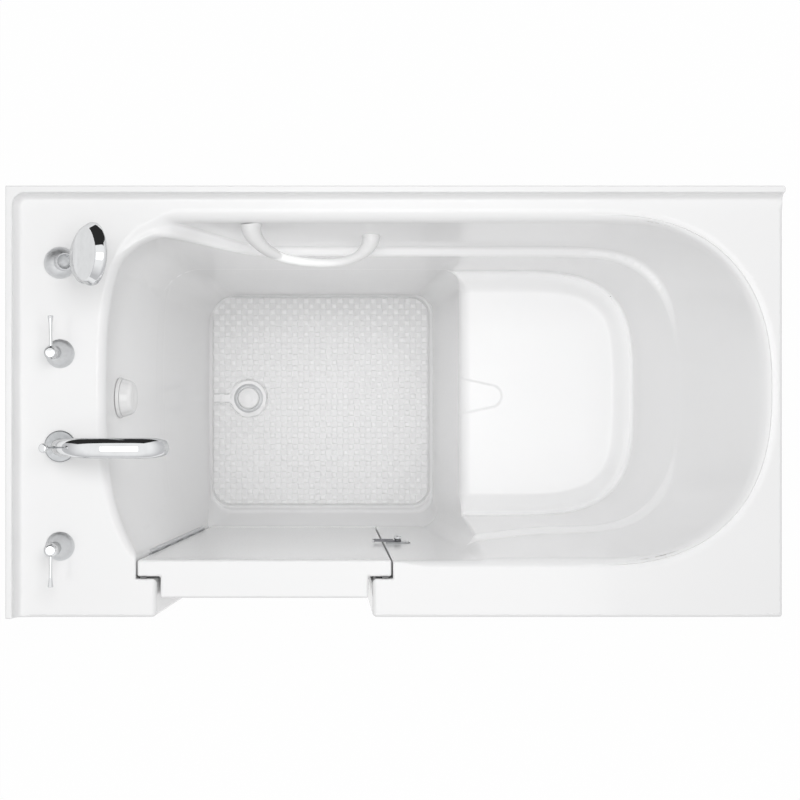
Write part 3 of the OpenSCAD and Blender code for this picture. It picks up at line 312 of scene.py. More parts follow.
def refine(co, tri, want):
    """Splits the edges that want picks, and each triangle to suit."""
    edge, where = np.unique(np.sort(edge_pairs(tri), axis=1), axis=0, return_inverse=True)
    pick = want(edge)
    mid = np.full(len(edge), -1)
    mid[pick] = len(co) + np.arange(pick.sum())
    co = np.concatenate([co, (co[edge[pick, 0]] + co[edge[pick, 1]]) / 2])
    mid = mid[where.reshape(-1, 3)]
    code = (mid >= 0) @ np.array([1, 2, 4])
    # Columns 0 to 2 are a triangle's corners and 3 to 5 the middles of the edges after them
    points = np.concatenate([tri, mid], 1)
    cuts = [(0, (0, 1, 2))]
    for (a, b, c), one, two in (((0, 1, 2), 1, 3), ((1, 2, 0), 2, 6), ((2, 0, 1), 4, 5)):
        cuts += [(one, (a, a + 3, c)), (one, (a + 3, b, c)),
                 (two, (a + 3, b, b + 3)), (two, (a, a + 3, c)), (two, (a + 3, b + 3, c))]
    cuts += [(7, (0, 3, 5)), (7, (3, 1, 4)), (7, (5, 4, 2)), (7, (3, 4, 5))]
    return co, np.concatenate([points[code == kind][:, list(corner)] for kind, corner in cuts])


def linked(name, data):
    """New object in the scene."""
    obj = bpy.data.objects.new(name, data)
    bpy.context.scene.collection.objects.link(obj)
    return obj


def plain_object(name, co, faces):
    """Object from points in millimetres."""
    mesh = bpy.data.meshes.new(name)
    mesh.from_pydata([tuple(c * MM for c in p) for p in co], [], faces)
    mesh.validate()
    return linked(name, mesh)


def fit_out(obj, body, slot, material, *replaced):
    """Gives an object its material, its body and the CAD nodes that it stands for; slot is not used."""
    obj.data.materials.append(material)
    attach(obj, body)
    if replaced:
        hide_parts(*replaced)
    return obj


def mesh_object(name, co, faces, normals, *fittings):
    """Large smooth object with its own normals; fittings are as in fit_out."""
    mesh = bpy.data.meshes.new(name)
    mesh.vertices.add(len(co))
    mesh.vertices.foreach_set("co", (co * MM).astype(np.float32).ravel())
    mesh.loops.add(faces.size)
    mesh.loops.foreach_set("vertex_index", faces.astype(np.int32).ravel())
    mesh.polygons.add(len(faces))
    mesh.polygons.foreach_set("loop_start", np.arange(0, faces.size, faces.shape[1], dtype=np.int32))
    mesh.polygons.foreach_set("use_smooth", np.ones(len(faces), bool))
    mesh.update(calc_edges=True)
    mesh.validate()
    obj = linked(name, mesh)
    mesh.normals_split_custom_set_from_vertices(normals.astype(np.float32))
    return fit_out(obj, *fittings)


def new_material(name):
    mat = bpy.data.materials.new(name)
    mat.use_nodes = True
    return mat, mat.node_tree, mat.node_tree.nodes["Principled BSDF"]


def add_node(tree, kind, inputs=None, **settings):
    """New shader node; each input is a value or another node's output."""
    node = tree.nodes.new("ShaderNode" + kind)
    for key, value in settings.items():
        setattr(node, key, value)
    for key, value in (inputs or {}).items():
        if isinstance(value, bpy.types.NodeSocket):
            tree.links.new(value, node.inputs[key])
        else:
            node.inputs[key].default_value = value
    return node


def place(tree, scale=(1, 1, 1)):
    """Object-space position, scaled."""
    coord = add_node(tree, "TexCoord")
    mapping = add_node(tree, "Mapping", {"Vector": coord.outputs["Object"], "Scale": scale})
    return mapping.outputs["Vector"]


def noise(tree, where, scale, detail, rough=0.5):
    inputs = {"Vector": where, "Scale": scale, "Detail": detail, "Roughness": rough}
    return add_node(tree, "TexNoise", inputs).outputs["Fac"]


def ramp_colour(tree, fac, low, high, a, b):
    ramp = add_node(tree, "ValToRGB", {"Fac": fac})
    ramp.color_ramp.elements[0].position = low
    ramp.color_ramp.elements[1].position = high
    ramp.color_ramp.elements[0].color = (*a, 1)
    ramp.color_ramp.elements[1].color = (*b, 1)
    return ramp.outputs["Color"]


def spread(tree, fac, low, high):
    """Maps 0..1 to low..high."""
    limits = {"Value": fac, "To Min": low, "To Max": high}
    return add_node(tree, "MapRange", limits).outputs["Result"]


def bump(tree, height, strength, distance, normal=None):
    inputs = {"Height": height, "Strength": strength, "Distance": distance}
    if normal is not None:
        inputs["Normal"] = normal
    return add_node(tree, "Bump", inputs).outputs["Normal"]


def shade(colour, share):
    return tuple(c * share for c in colour)


def feed(tree, shader, *sources):
    """Links a shader's colour, roughness and normal."""
    for key, source in zip(("Base Color", "Roughness", "Normal"), sources):
        tree.links.new(source, shader.inputs[key])


def gloss_white(name, colour, rough=0.16, coat=0.3, floor_painted_shade=0.0):
    """Polished gelcoat or acrylic: faint cloudiness, faint waviness and fine wear in the gloss."""
    mat, tree, shader = new_material(name)
    where = place(tree)
    cloudiness_and_floor_shade = ramp_colour(tree, noise(tree, where, 3.5, 2), 0.3, 0.7, shade(colour, 0.985), colour)
    if floor_painted_shade:
        # Painted shade: the floor below the tread pads' tops, between the pads, has its base colour darkened
        height = add_node(tree, "SeparateXYZ", {0: where}).outputs["Z"]
        limits = {"Value": height, "From Min": (FLOOR_Z + 0.2) * MM, "From Max": (FLOOR_Z + 0.8) * MM,
                  "To Min": 1.0, "To Max": 0.0}
        share = add_node(tree, "MapRange", limits).outputs["Result"]
        low = (*shade(colour, floor_painted_shade), 1)
        cloudiness_and_floor_shade = add_node(tree, "MixRGB", {0: share, 1: cloudiness_and_floor_shade, 2: low}).outputs[0]
    feed(tree, shader, cloudiness_and_floor_shade, spread(tree, noise(tree, where, 240, 2), rough * 0.8, rough * 1.25),
         bump(tree, noise(tree, where, 14, 2), 0.05, 0.002))
    settings = {"Base Color": (*colour, 1), "Coat Weight": coat, "Coat Roughness": 0.05, "IOR": 1.5}
    for key, value in settings.items():
        shader.inputs[key].default_value = value
    return mat


def metal(name, colour, rough, brushed=None, edge=1.0):
    """Metal with faint stains; edge is how far its colour is darkened where it turns away from the view, a
    painted shade at its rims.
    """
    mat, tree, shader = new_material(name)
    where = place(tree)
    shader.inputs["Metallic"].default_value = 1.0
    stains_and_edge_shade = ramp_colour(tree, noise(tree, where, 60, 3), 0.3, 0.7, shade(colour, 0.94), colour)
    # Painted shade: the colour darkens where the surface turns away from the view
    if edge < 1:
        facing = add_node(tree, "LayerWeight", {"Blend": 0.5}).outputs["Facing"]
        painted_edge_shade = {0: 1.0, 1: stains_and_edge_shade, 2: ramp_colour(tree, facing, 0.45, 0.9, (1, 1, 1), (edge, edge, edge))}
        stains_and_edge_shade = add_node(tree, "MixRGB", painted_edge_shade, blend_type="MULTIPLY").outputs[0]
    if brushed:
        lines = noise(tree, place(tree, brushed), 1.0, 4)
        feed(tree, shader, stains_and_edge_shade, spread(tree, lines, rough * 0.75, rough * 1.3),
             bump(tree, lines, 0.15, 0.0004))
    else:
        feed(tree, shader, stains_and_edge_shade, spread(tree, noise(tree, where, 180, 3), rough * 0.6, rough * 1.5),
             bump(tree, noise(tree, where, 30, 2), 0.02, 0.0005))
    return mat


def dull(name, colour, rough):
    """Moulded plastic or rubber with a fine grain."""
    mat, tree, shader = new_material(name)
    where = place(tree)
    fine = noise(tree, where, 350, 3)
    feed(tree, shader, ramp_colour(tree, noise(tree, where, 25, 4), 0.3, 0.7, shade(colour, 0.88), colour),
         spread(tree, fine, rough * 0.85, rough * 1.15), bump(tree, fine, 0.25, 0.0004))
    return mat


WHITE = (0.93, 0.93, 0.932)
# The gelcoat's floor between the tread's pads is darkened: painted shade
gelcoat = gloss_white("gelcoat", WHITE, floor_painted_shade=0.87)
tread_gelcoat = gloss_white("tread_gelcoat", WHITE, rough=0.3, coat=0.1)
acrylic = gloss_white("acrylic_sheet", WHITE, rough=0.18)
door_gelcoat = gloss_white("door_gelcoat", WHITE)
trim_white = gloss_white("trim_white", (0.80, 0.80, 0.80), rough=0.22, coat=0.15)
# Chrome's colour falls to 0.55 where it turns away from the view: painted shade at its rims
chrome = metal("chrome", (0.82, 0.83, 0.84), 0.035, edge=0.55)
satin_chrome = metal("satin_chrome", (0.80, 0.81, 0.82), 0.5)
# Darker copy of chrome for the spout's foot: a painted grey reflection
painted_dark_base_chrome = metal("painted_dark_base_chrome", (0.42, 0.43, 0.44), 0.3)
# Darker copy of chrome for the latch lever: a painted dark reflection
painted_dark_latch_chrome = metal("painted_dark_latch_chrome", (0.17, 0.17, 0.18), 0.16)
satin_steel = metal("satin_steel", (0.60, 0.61, 0.63), 0.32, brushed=(60, 60, 900))
hinge_steel = metal("hinge_steel", (0.72, 0.73, 0.74), 0.38, brushed=(900, 900, 60))
screw_steel = metal("screw_steel", (0.66, 0.67, 0.69), 0.22)
brass = metal("brass", (0.72, 0.55, 0.27), 0.28)
copper = metal("copper", (0.76, 0.42, 0.28), 0.24)
black_rubber = dull("black_rubber", (0.035, 0.035, 0.035), 0.7)
seal_rubber = dull("seal_rubber", (0.20, 0.20, 0.20), 0.6)
pipe_plastic = dull("pipe_plastic", (0.09, 0.09, 0.10), 0.45)
foot_plastic = dull("foot_plastic", (0.05, 0.05, 0.05), 0.5)


def laminate_back():
    """Back of the moulding: chopped-strand laminate, matt and slightly yellow."""
    mat, tree, shader = new_material("laminate_back")
    where = place(tree)
    strands = add_node(tree, "TexVoronoi", {"Vector": where, "Scale": 70.0}, feature="DISTANCE_TO_EDGE")
    lines = noise(tree, where, 90, 5, 0.7)
    first = bump(tree, strands.outputs["Distance"], 0.35, 0.001)
    feed(tree, shader, ramp_colour(tree, lines, 0.25, 0.75, (0.52, 0.50, 0.42), (0.70, 0.69, 0.62)),
         spread(tree, lines, 0.5, 0.8), bump(tree, lines, 0.5, 0.001, first))
    return mat


laminate = laminate_back()


def build_shell():
    """Front of the moulding, finer where it turns and along its beads, open below the skirt."""
    pitch = 7.0
    ranges = ((X0 - 11.3, X1 + 16), (Y0 - 12.1, Y1 + 16), (85.7, FLANGE_Z + 13))
    grid = [np.arange(low, high, pitch) for low, high in ranges]
    gx, gy, gz = np.meshgrid(*grid, indexing="ij", sparse=True)
    slabs = np.split(gx, list(range(40, len(gx), 40)))
    field = np.concatenate([shell_field(slab, gy, gz).astype(np.float32) for slab in slabs])
    co, quads = surface_net(field, grid)
    tri = np.concatenate([quads[:, [0, 1, 2]], quads[:, [0, 2, 3]]])
    co = project(shell_field, co)
    x, y, z = co[tri].mean(1).T
    rim = np.minimum(*door_void(x, y, z))
    on_side = (x < X0 + 1.5) | (x > X1 - 1.5) | (y < Y0 + 1.5) | (y > Y1 - 1.5)
    tri = tri[(z >= BLOCK_Z + 2) & ~(on_side & (z < SKIRT_Z) & (rim > 7))]
    for step in range(3):
        normal, _ = field_normals(shell_field, co)
        near = 3 + 6 / (step + 1)
        x, y, z = co.T
        tread, ring = tread_field(x, y), seat_ring(x, y)
        fine = (np.abs(rim_oval(x, y) - RIM_BEAD) < near) & (z > DECK - 7) & (x > 330)
        for line in (tread - TREAD_GROOVE, tread - TREAD_BEAD, keyhole(x, y) - 1.0):
            fine |= (np.abs(line) < near) & (z < FLOOR_Z + 3)
        fine |= (ring > SEAT_LIP - near) & (ring < -3) & (z > SEAT_Z + 4) & (z < SEAT_Z + 24)
        fine |= (np.abs(tongue_edge(x, y)) < near) & (np.abs(z - SEAT_Z) < 6) & (x < 225)

        def want(edge):
            a, b = edge.T
            length = norm(co[a] - co[b], axis=1)
            turn = (normal[a] * normal[b]).sum(1)
            bent = (turn < math.cos(math.radians(11))) & (length > 1.8)
            return bent | (fine[a] & fine[b] & (length > 1.6))

        co, tri = refine(co, tri, want)
        used, tri = np.unique(tri, return_inverse=True)
        tri = tri.reshape(-1, 3)
        co = project(shell_field, co[used], 3, 2.0)
    return co, tri


def open_edges(tri):
    pairs = edge_pairs(tri)
    _, first, counts = np.unique(np.sort(pairs, axis=1), axis=0, return_index=True, return_counts=True)
    return pairs[first[counts == 1]]


def make_shell():
    co, tri = build_shell()
    edge = open_edges(tri)
    rim = np.unique(edge)
    skirt = rim[np.abs(co[rim, 2] - SKIRT_Z) < 9]
    co[skirt, 2] = SKIRT_Z
    normal, _ = field_normals(shell_field, co)
    inner = co - normal * SHELL_T
    n = len(co)
    wall = np.concatenate([np.stack([edge[:, 1], edge[:, 0], edge[:, 0] + n], 1),
                           np.stack([edge[:, 1], edge[:, 0] + n, edge[:, 1] + n], 1)])
    faces = np.concatenate([tri, tri[:, ::-1] + n, wall])
    co, normals = np.concatenate([co, inner]), np.concatenate([normal, -normal])
    shell = mesh_object("moulded_shell", co, faces, normals, "tub", "shell_white", gelcoat, "tub_shell")
    shell.data.materials.append(laminate)
    shell.data.polygons.foreach_set("material_index", (np.arange(len(faces)) >= len(tri)).astype(np.int32))


make_shell()


def make_tread():
    """Raised pads in a checkerboard on the floor, cut at the field's outline and round the drain."""
    half, pitch, rise, keep_out, channel, corner = 5.9, 12.8, 1.3, 44.0, 11.0, 0.28
    turn = math.pi / 2 * np.array([quarter + k / 2 for quarter in range(4) for k in range(3)])
    square = np.repeat([(1, 1), (-1, 1), (-1, -1), (1, -1)], 3, axis=0)
    ring = square * (1 - corner) + corner * np.stack([np.cos(turn), np.sin(turn)], 1)
    count = len(ring)
    x0, x1, y0, y1 = TREAD
    centre = np.array((x0 + x1, y0 + y1)) / 2
    reach = np.array((x1 - x0, y1 - y0)) / 2 - TREAD_R
    drain = np.array((DRAIN_X, WASTE_Y))

    def cut(p):
        """Moves points into the field and out of the plain keyhole round the drain."""
        core = np.clip(p, centre - reach, centre + reach)
        r = norm(p - core, axis=1)[:, None]
        p = core + (p - core) * np.minimum(1, (TREAD_R - 1) / np.maximum(r, 1e-6))
        r = norm(p - drain, axis=1)[:, None]
        p = drain + (p - drain) * np.maximum(1, keep_out / np.maximum(r, 1e-6))
        off = p[:, 1] - WASTE_Y
        in_channel = (p[:, 0] < DRAIN_X) & (np.abs(off) < channel)
        p[:, 1] = np.where(in_channel, WASTE_Y + np.sign(off + 1e-6) * channel, p[:, 1])
        return p

    co, faces = [], []
    for i, x in enumerate(np.arange(x0 + pitch / 2, x1, pitch)):
        for j, y in enumerate(np.arange(y1 - pitch / 2, y0, -pitch)):
            outline = cut((x, y) + ring * half)
            a, b = outline.T, np.roll(outline, -1, axis=0).T
            if (i + j) % 2 or 0.5 * np.sum(a[0] * b[1] - b[0] * a[1]) < 25:
                continue
            middle = outline.mean(0)
            start = len(co)
            for share, z in ((1.0, -0.3), (0.97, 0.35), (0.86, 1.05), (0.66, rise)):
                co += [(*p, FLOOR_Z + z) for p in middle + (outline - middle) * share]
            top = len(co) - count
            co.append((*middle, FLOOR_Z + rise + 0.1))
            faces += band(start, 4, count)
            faces += [(top + k, top + (k + 1) % count, top + count) for k in range(count)]
            faces.append(tuple(range(start + count - 1, start - 1, -1)))
    solid_object("floor_tread", [(co, faces)], "tub", "shell_white", tread_gelcoat, 60)


def band(start, rows, count):
    """Quads between closed rows of points."""
    return [(a + k, a + (k + 1) % count, a + count + (k + 1) % count, a + count + k)
            for a in range(start, start + (rows - 1) * count, count) for k in range(count)]


def solid_object(name, pieces, body, slot, material, angle, *replaced, bevel=0.0):
    """Small object from (points, faces) pieces in millimetres, shaded smooth up to an angle."""
    co, faces = [], []
    for points, polygons in pieces:
        faces += [tuple(i + len(co) for i in face) for face in polygons]
        co += list(points)
    obj = plain_object(name, co, faces)
    if bevel:
        add_bevel(obj, bevel)
    even_normals(obj, angle)
    return fit_out(obj, body, slot, material, *replaced)


def apply_modifiers(obj):
    graph = bpy.context.evaluated_depsgraph_get()
    mesh = bpy.data.meshes.new_from_object(obj.evaluated_get(graph))
    obj.modifiers.clear()
    old = obj.data
    obj.data = mesh
    bpy.data.meshes.remove(old)


def add_bevel(obj, width, segments=3):
    mod = obj.modifiers.new("edge", "BEVEL")
    mod.width = width * MM
    mod.segments = segments
    mod.limit_method = "ANGLE"
    mod.angle_limit = math.radians(35)
    apply_modifiers(obj)


def merge_flat(obj):
    """Joins doubled points, and the triangles of a flat face."""
    obj.modifiers.new("weld", "WELD").merge_threshold = 1e-5
    flat = obj.modifiers.new("flat", "DECIMATE")
    flat.decimate_type = "DISSOLVE"
    flat.angle_limit = math.radians(0.5)


def even_normals(obj, angle):
    """Smooth shading in which large flat faces stay flat."""
    obj.data.polygons.foreach_set("use_smooth", np.ones(len(obj.data.polygons), bool))
    obj.data.set_sharp_from_angle(angle=math.radians(angle))
    mod = obj.modifiers.new("normals", "WEIGHTED_NORMAL")
    mod.keep_sharp = True
    apply_modifiers(obj)


def frame_from(axis):
    """Rows: two directions across an axis, then the axis."""
    z = np.array(axis, float)
    z /= norm(z)
    x = np.cross((0, 1, 0) if abs(axis[1]) < 0.9 else (1, 0, 0), z)
    x /= norm(x)
    return np.stack([x, np.cross(z, x), z])


def lathe(profile, origin, axis=(0, 0, 1), steps=64):
    """Turns (radius, height) points about an axis; a zero radius closes the end."""
    base = frame_from(axis)
    co, rings = [], []
    for r, h in profile:
        points = steps if r > 1e-6 else 1
        rings.append([len(co) + i % points for i in range(steps)])
        for i in range(points):
            a = 2 * math.pi * i / steps
            co.append(origin + base[0] * (r * math.cos(a)) + base[1] * (r * math.sin(a)) + base[2] * h)
    faces = []
    for low, high in zip(rings, rings[1:]):
        for i in range(steps):
            j = (i + 1) % steps
            face = tuple(dict.fromkeys((low[i], low[j], high[j], high[i])))
            if len(face) > 2:
                faces.append(face)
    return co, faces


def round_profile(points, radii, steps=5):
    """Rounds the corners of an open (radius, height) line."""
    out = []
    for i, (p, r) in enumerate(zip(points, radii)):
        p = np.array(p, float)
        if r <= 0 or i in (0, len(points) - 1):
            out.append(tuple(p))
            continue
        a, b = np.array(points[i - 1], float) - p, np.array(points[i + 1], float) - p
        la, lb = norm(a), norm(b)
        r = min(r, 0.48 * la, 0.48 * lb)
        start, end = p + a / la * r, p + b / lb * r
        for k in range(steps + 1):
            t = k / steps
            out.append(tuple((1 - t) ** 2 * start + 2 * t * (1 - t) * p + t * t * end))
    return out


def curve_points(keys, per=9):
    """Smooth line through key points; extra columns, such as radii, are carried along."""
    k = np.array(keys, float)
    k = np.concatenate([[2 * k[0] - k[1]], k, [2 * k[-1] - k[-2]]])
    out = []
    for i in range(1, len(k) - 2):
        p0, p1, p2, p3 = k[i - 1], k[i], k[i + 1], k[i + 2]
        for s in range(per):
            t = s / per
            out.append(0.5 * (2 * p1 + (p2 - p0) * t + (2 * p0 - 5 * p1 + 4 * p2 - p3) * t * t
                              + (3 * p1 - p0 - 3 * p2 + p3) * t ** 3))
    out.append(k[-2])
    return np.array(out)


def sweep(path, half_w, half_h, side, steps, power, end_round=0.0):
    """Tube along a path with an oval section; side is the direction that its width takes.
    end_round gives how far the far end is rounded off, as a share of its size."""
    path = np.asarray(path, float)
    side = np.array(side, float)
    tangent = np.gradient(path, axis=0)
    tangent /= norm(tangent, axis=1)[:, None]
    turn = 2 * math.pi * np.arange(steps) / steps
    c, s = (np.sign(v) * np.abs(v) ** (2 / power) for v in (np.cos(turn), np.sin(turn)))

    def ring(i, grow=1.0, along=0.0):
        t = tangent[i]
        across = side - t * side.dot(t)
        across /= norm(across)
        up = np.cross(t, across)
        flat = np.outer(c * half_w[i], across) + np.outer(s * half_h[i], up)
        return path[i] + t * along + flat * grow

    rings = [ring(i) for i in range(len(path))]
    if end_round:
        for a in math.pi / 14 * np.arange(1, 7):
            grow = 1 - end_round + end_round * math.cos(a)
            rings.append(ring(-1, grow, end_round * half_h[-1] * math.sin(a)))
    last = (len(rings) - 1) * steps
    ends = [tuple(range(steps))[::-1], tuple(range(last, last + steps))]
    return np.concatenate(rings), band(0, len(rings), steps) + ends


def copied_node(node, name, body, slot, material, bevel):
    """A CAD node's own shape with its edges eased."""
    obj = linked(name, nodes[node].data.copy())
    merge_flat(obj)
    add_bevel(obj, bevel)
    even_normals(obj, 40)
    obj.data.materials.clear()
    fit_out(obj, body, slot, material, node)


def at_tap(y, x=0.0, z=0.0):
    return (TAP_X + x, y, DECK + z)


TAPS = {"shower": 247.0, "hot": 86.0, "spout": -78.0, "cold": -255.0}


def make_tap(name, y, turn):
    bell = [(0, 0), (25.5, 0), (25.5, 2.4), (24.6, 3.4), (23.6, 3.8)]
    bell += [(lerp(23.4, 11.9, math.sqrt(s)), lerp(5.0, 45.6, s)) for s in np.linspace(0, 1, 22)]
    bell += [(11.4, 46.0), (0, 46.0)]
    bell = lathe(bell, at_tap(y))
    solid_object(name + "_tap_base", [bell], "tub", "chrome", satin_chrome, 30, name + "_base")
    hub = round_profile([(0, 46.3), (11.0, 46.3), (11.0, 60), (12.2, 74), (12.2, 82), (8.6, 88.6), (0, 88.9)],
                        [0, 0.8, 6, 5, 2.6, 1.6, 0])
    lever = []
    for s in np.linspace(0, 1, 26):
        r = 3.3 - 0.5 * math.sin(math.pi * min(1, s * 1.3)) + 1.7 * max(0.0, (s - 0.7) / 0.3) ** 1.6
        lever.append((r, 8 + 54.9 * s))
    lever = [(0, 8)] + lever + [(4.3, 63.5), (3.2, 63.9), (2.9, 62.6), (0, 62.4)]
    pieces = [lathe(hub, at_tap(y), steps=56), lathe(lever, at_tap(y, 0, 80.5), (0, turn, 0.055), 24)]
    solid_object(name + "_tap_handle", pieces, name + "_lever", "chrome", chrome, 30, name + "_handle")


def make_spout():
    y = TAPS["spout"]
    keys = [  # x, z, half width, half height
        (0, 6, 13.4, 13.4), (2.5, 30, 13.2, 12.6), (9, 58, 13.6, 11.8), (24, 88, 15, 11), (50, 110, 17, 10.4),
        (84, 120.6, 17.6, 10), (120, 123.6, 17.6, 9.8), (152, 120.6, 17.6, 9.8), (176, 112.6, 17.2, 10.2),
        (190, 102, 15.6, 10.2), (196, 94, 13.6, 9.8)]
    line = curve_points(keys)
    path = [at_tap(y, p[0], p[1]) for p in line]
    body = sweep(path, line[:, 2], line[:, 3], (0, 1, 0), 56, 2.2, 0.5)
    foot = round_profile([(0, 0), (28, 0), (28, 3.6), (26.8, 5.0), (13.4, 5.6), (13.3, 13), (0, 13)],
                         [0, 0.6, 0.8, 1.0, 0.4, 0, 0])
    shank = [(0, -34), (14, -34), (14, -0.5), (0, -0.5)]
    end = np.array(path[-1]) - np.array(path[-4])
    end /= norm(end)
    nozzle = round_profile([(0, 3.0), (7.6, 3.0), (7.6, 6.6), (6.0, 6.6), (6.0, 5.4), (0, 5.4)],
                           [0, 0.4, 0.4, 0.3, 0, 0])
    pieces = [body, lathe(foot, at_tap(y), steps=72), lathe(shank, at_tap(y), steps=32),
              lathe(nozzle, path[-1], end, 40)]
    spout = solid_object("bath_spout", pieces, "tub", "chrome", chrome, 34, "spout")
    # The spout's foot takes the darker chrome, a painted grey reflection
    spout.data.materials.append(painted_dark_base_chrome)
    for face in spout.data.polygons:
        out = (face.center.xy - Vector(at_tap(y)[:2]) * MM).length
        face.material_index = int(face.center.z < (DECK + 8) * MM and out > 13.6 * MM)
    lean = math.radians(11)
    axis = (-math.sin(lean), 0, math.cos(lean))
    rod = [(0, -13.7), (2.5, -13.7), (2.5, 50)]
    ball = [(8.4 * math.sin(a), 64 - 8.4 * math.cos(a)) for a in np.linspace(0.32, 2.3, 18)] + [(0, 70.6)]
    pull = lathe(rod + ball, at_tap(y, 6, 50), axis, 40)
    solid_object("diverter_pull", [pull], "diverter", "chrome", chrome, 40, "diverter_knob")


def blend_min(a, b, k):
    h = np.clip(0.5 + 0.5 * (b - a) / k, 0, 1)
    return lerp(b, a, h) - k * h * (1 - h)


def field_piece(fn, low, high, pitch):
    """Mesh of a signed distance inside a box, with its normals."""
    axes = [np.arange(low[i], high[i] + pitch, pitch) for i in range(3)]
    co, quads = surface_net(fn(*np.meshgrid(*axes, indexing="ij")), axes)
    co = project(fn, co, 4, pitch)
    normal, _ = field_normals(fn, co, 0.15)
    return co, quads, normal


LEAN = math.radians(24.6)
GRIP = np.array((math.sin(LEAN), 0, math.cos(LEAN)))
SPRAY_ANGLE = math.radians(124.3)
SPRAY = np.array((math.sin(SPRAY_ANGLE), 0, math.cos(SPRAY_ANGLE)))
PADDLE = np.array((math.cos(LEAN), 0, -math.sin(LEAN)))
SHOWER_AT = np.array(at_tap(TAPS["shower"]))
HEAD_AT = SHOWER_AT + GRIP * 204
HEAD_R, HEAD_FRONT, HEAD_BACK = 53.3, 9.8, 10.0


def hand_shower_field(x, y, z):
    """Round grip that widens like a paddle into a flat-backed disc."""
    p = np.stack([x, y, z], -1)
    along = (p - SHOWER_AT) @ GRIP
    off = p - SHOWER_AT - along[..., None] * GRIP
    side = off[..., 1]
    above = smooth(35, 36.5, along)
    grow = np.clip((along - 8) / 132, 0, 1)
    depth = off @ PADDLE + 2.6 * above * (1 - grow)
    wide = 12.4 + above * (2.2 + 34 * grow ** 1.35)
    thick = 12.4 + above * (2.4 - 5 * grow)
    grip = (np.hypot(side / wide, depth / thick) - 1) * thick
    grip = meet(grip, np.maximum(12.6 - along, along - 168), 1.2)
    u = (p - HEAD_AT) @ SPRAY
    q = p - HEAD_AT - u[..., None] * SPRAY
    rad = norm(q, axis=-1)
    # The rim tapers towards the flat back
    taper = (rad - 51.9 - 0.68 * u) / 1.21
    disc = meet(meet(rad - HEAD_R, np.maximum(-HEAD_BACK - u, u - HEAD_FRONT), 4.0), taper, 1.5)
    body = blend_min(grip, disc, 16)
    body = meet(body, -HEAD_BACK - u, 3.0)
    body = meet(body, np.maximum(rad - HEAD_R, taper) - 0.6 * np.maximum(178 - along, 0), 1.5)
    # Seat of the spray face
    return np.maximum(body, -np.maximum(rad - 48.6, HEAD_FRONT - u))


def make_shower():
    base = round_profile([(0, 0), (28, 0), (28, 3.4)], [0, 0.6, 0])
    base += [(28 * math.cos(a), 3.6 + 18.4 * math.sin(a)) for a in np.linspace(0.05, math.pi / 2 - 0.02, 20)]
    base += [(0, 22)]
    dome = lathe(base, SHOWER_AT, steps=72)
    socket = round_profile([(12.9, 16), (12.9, 34.6), (15.2, 34.6), (15.6, 8), (0, 8)], [0, 0.3, 0.8, 0, 0])
    cup = lathe(socket[::-1], SHOWER_AT, GRIP, 56)
    shank = lathe([(8.2, -28), (14, -28), (14, -0.5), (8.2, -0.5)], SHOWER_AT, steps=32)
    solid_object("shower_cradle", [dome, cup, shank], "tub", "chrome", satin_chrome, 34, "shower_holder")
    low = np.minimum(SHOWER_AT, HEAD_AT) - 62
    high = np.maximum(SHOWER_AT, HEAD_AT) + 62
    co, quads, normal = field_piece(hand_shower_field, low, high, 2.1)
    mesh_object("hand_shower_body", co, quads, normal, "shower", "chrome", chrome, "hand_shower")
    face = round_profile([(0, 10), (48.3, 10), (48.3, 10.8), (46.6, 11.9), (0, 11.9)], [0, 0, 0.4, 0.5, 0])
    pieces = [lathe(face, HEAD_AT, SPRAY, 72)]
    nozzle = [(1.5, 11.5), (1.3, 12.6), (0.6, 12.8), (0, 12.4)]
    across, up, _ = frame_from(SPRAY)
    for count, ring in ((6, 10), (12, 20), (18, 30), (24, 40)):
        for i in range(count):
            a = 2 * math.pi * i / count
            at = HEAD_AT + across * ring * math.cos(a) + up * ring * math.sin(a)
            pieces.append(lathe(nozzle, at, SPRAY, 8))
    solid_object("shower_spray_face", pieces, "shower", "trim_white", trim_white, 40, "shower_face")


make_tread()
make_tap("hot", TAPS["hot"], 1)
make_tap("cold", TAPS["cold"], -1)
make_spout()
make_shower()


RECESS_LEAN = 25.0


def recess_y(drop):
    return 319.0 - RECESS_LEAN * drop / 225.0


def make_grab_bar():
    x_a, x_b, d_a, d_b = -259.0, -45.0, 34.0, 125.0
    keys = [(x, recess_y(drop) - out, DECK - drop, *size) for x, drop, out, *size in (
        (x_a, d_a, -4.5, 18, 19.5), (x_a + 1.5, d_a + 1, 9, 16, 17), (x_a + 10, d_a + 4, 24, 13, 13.5),
        (x_a + 28, d_a + 13, 40, 10.6, 10.4), (x_a + 60, d_a + 28, 52, 8.9, 8.2),
        ((x_a + x_b) / 2, (d_a + d_b) / 2, 56, 8.7, 8.1),
        (x_b - 60, d_b - 28, 52, 8.9, 8.2), (x_b - 28, d_b - 13, 40, 9.4, 8.6),
        (x_b - 10, d_b - 4, 24, 12.4, 12.4), (x_b - 1.5, d_b - 1, 9, 14.6, 15.4), (x_b, d_b, -4.5, 17, 18))]
    line = curve_points(keys)
    bow = sweep(line[:, :3], line[:, 3], line[:, 4], (0, 0.25, 1), 40, 2.1)
    solid_object("grab_bar_bow", [bow], "tub", "trim_white", trim_white, 40, "grab_bar")


make_grab_bar()


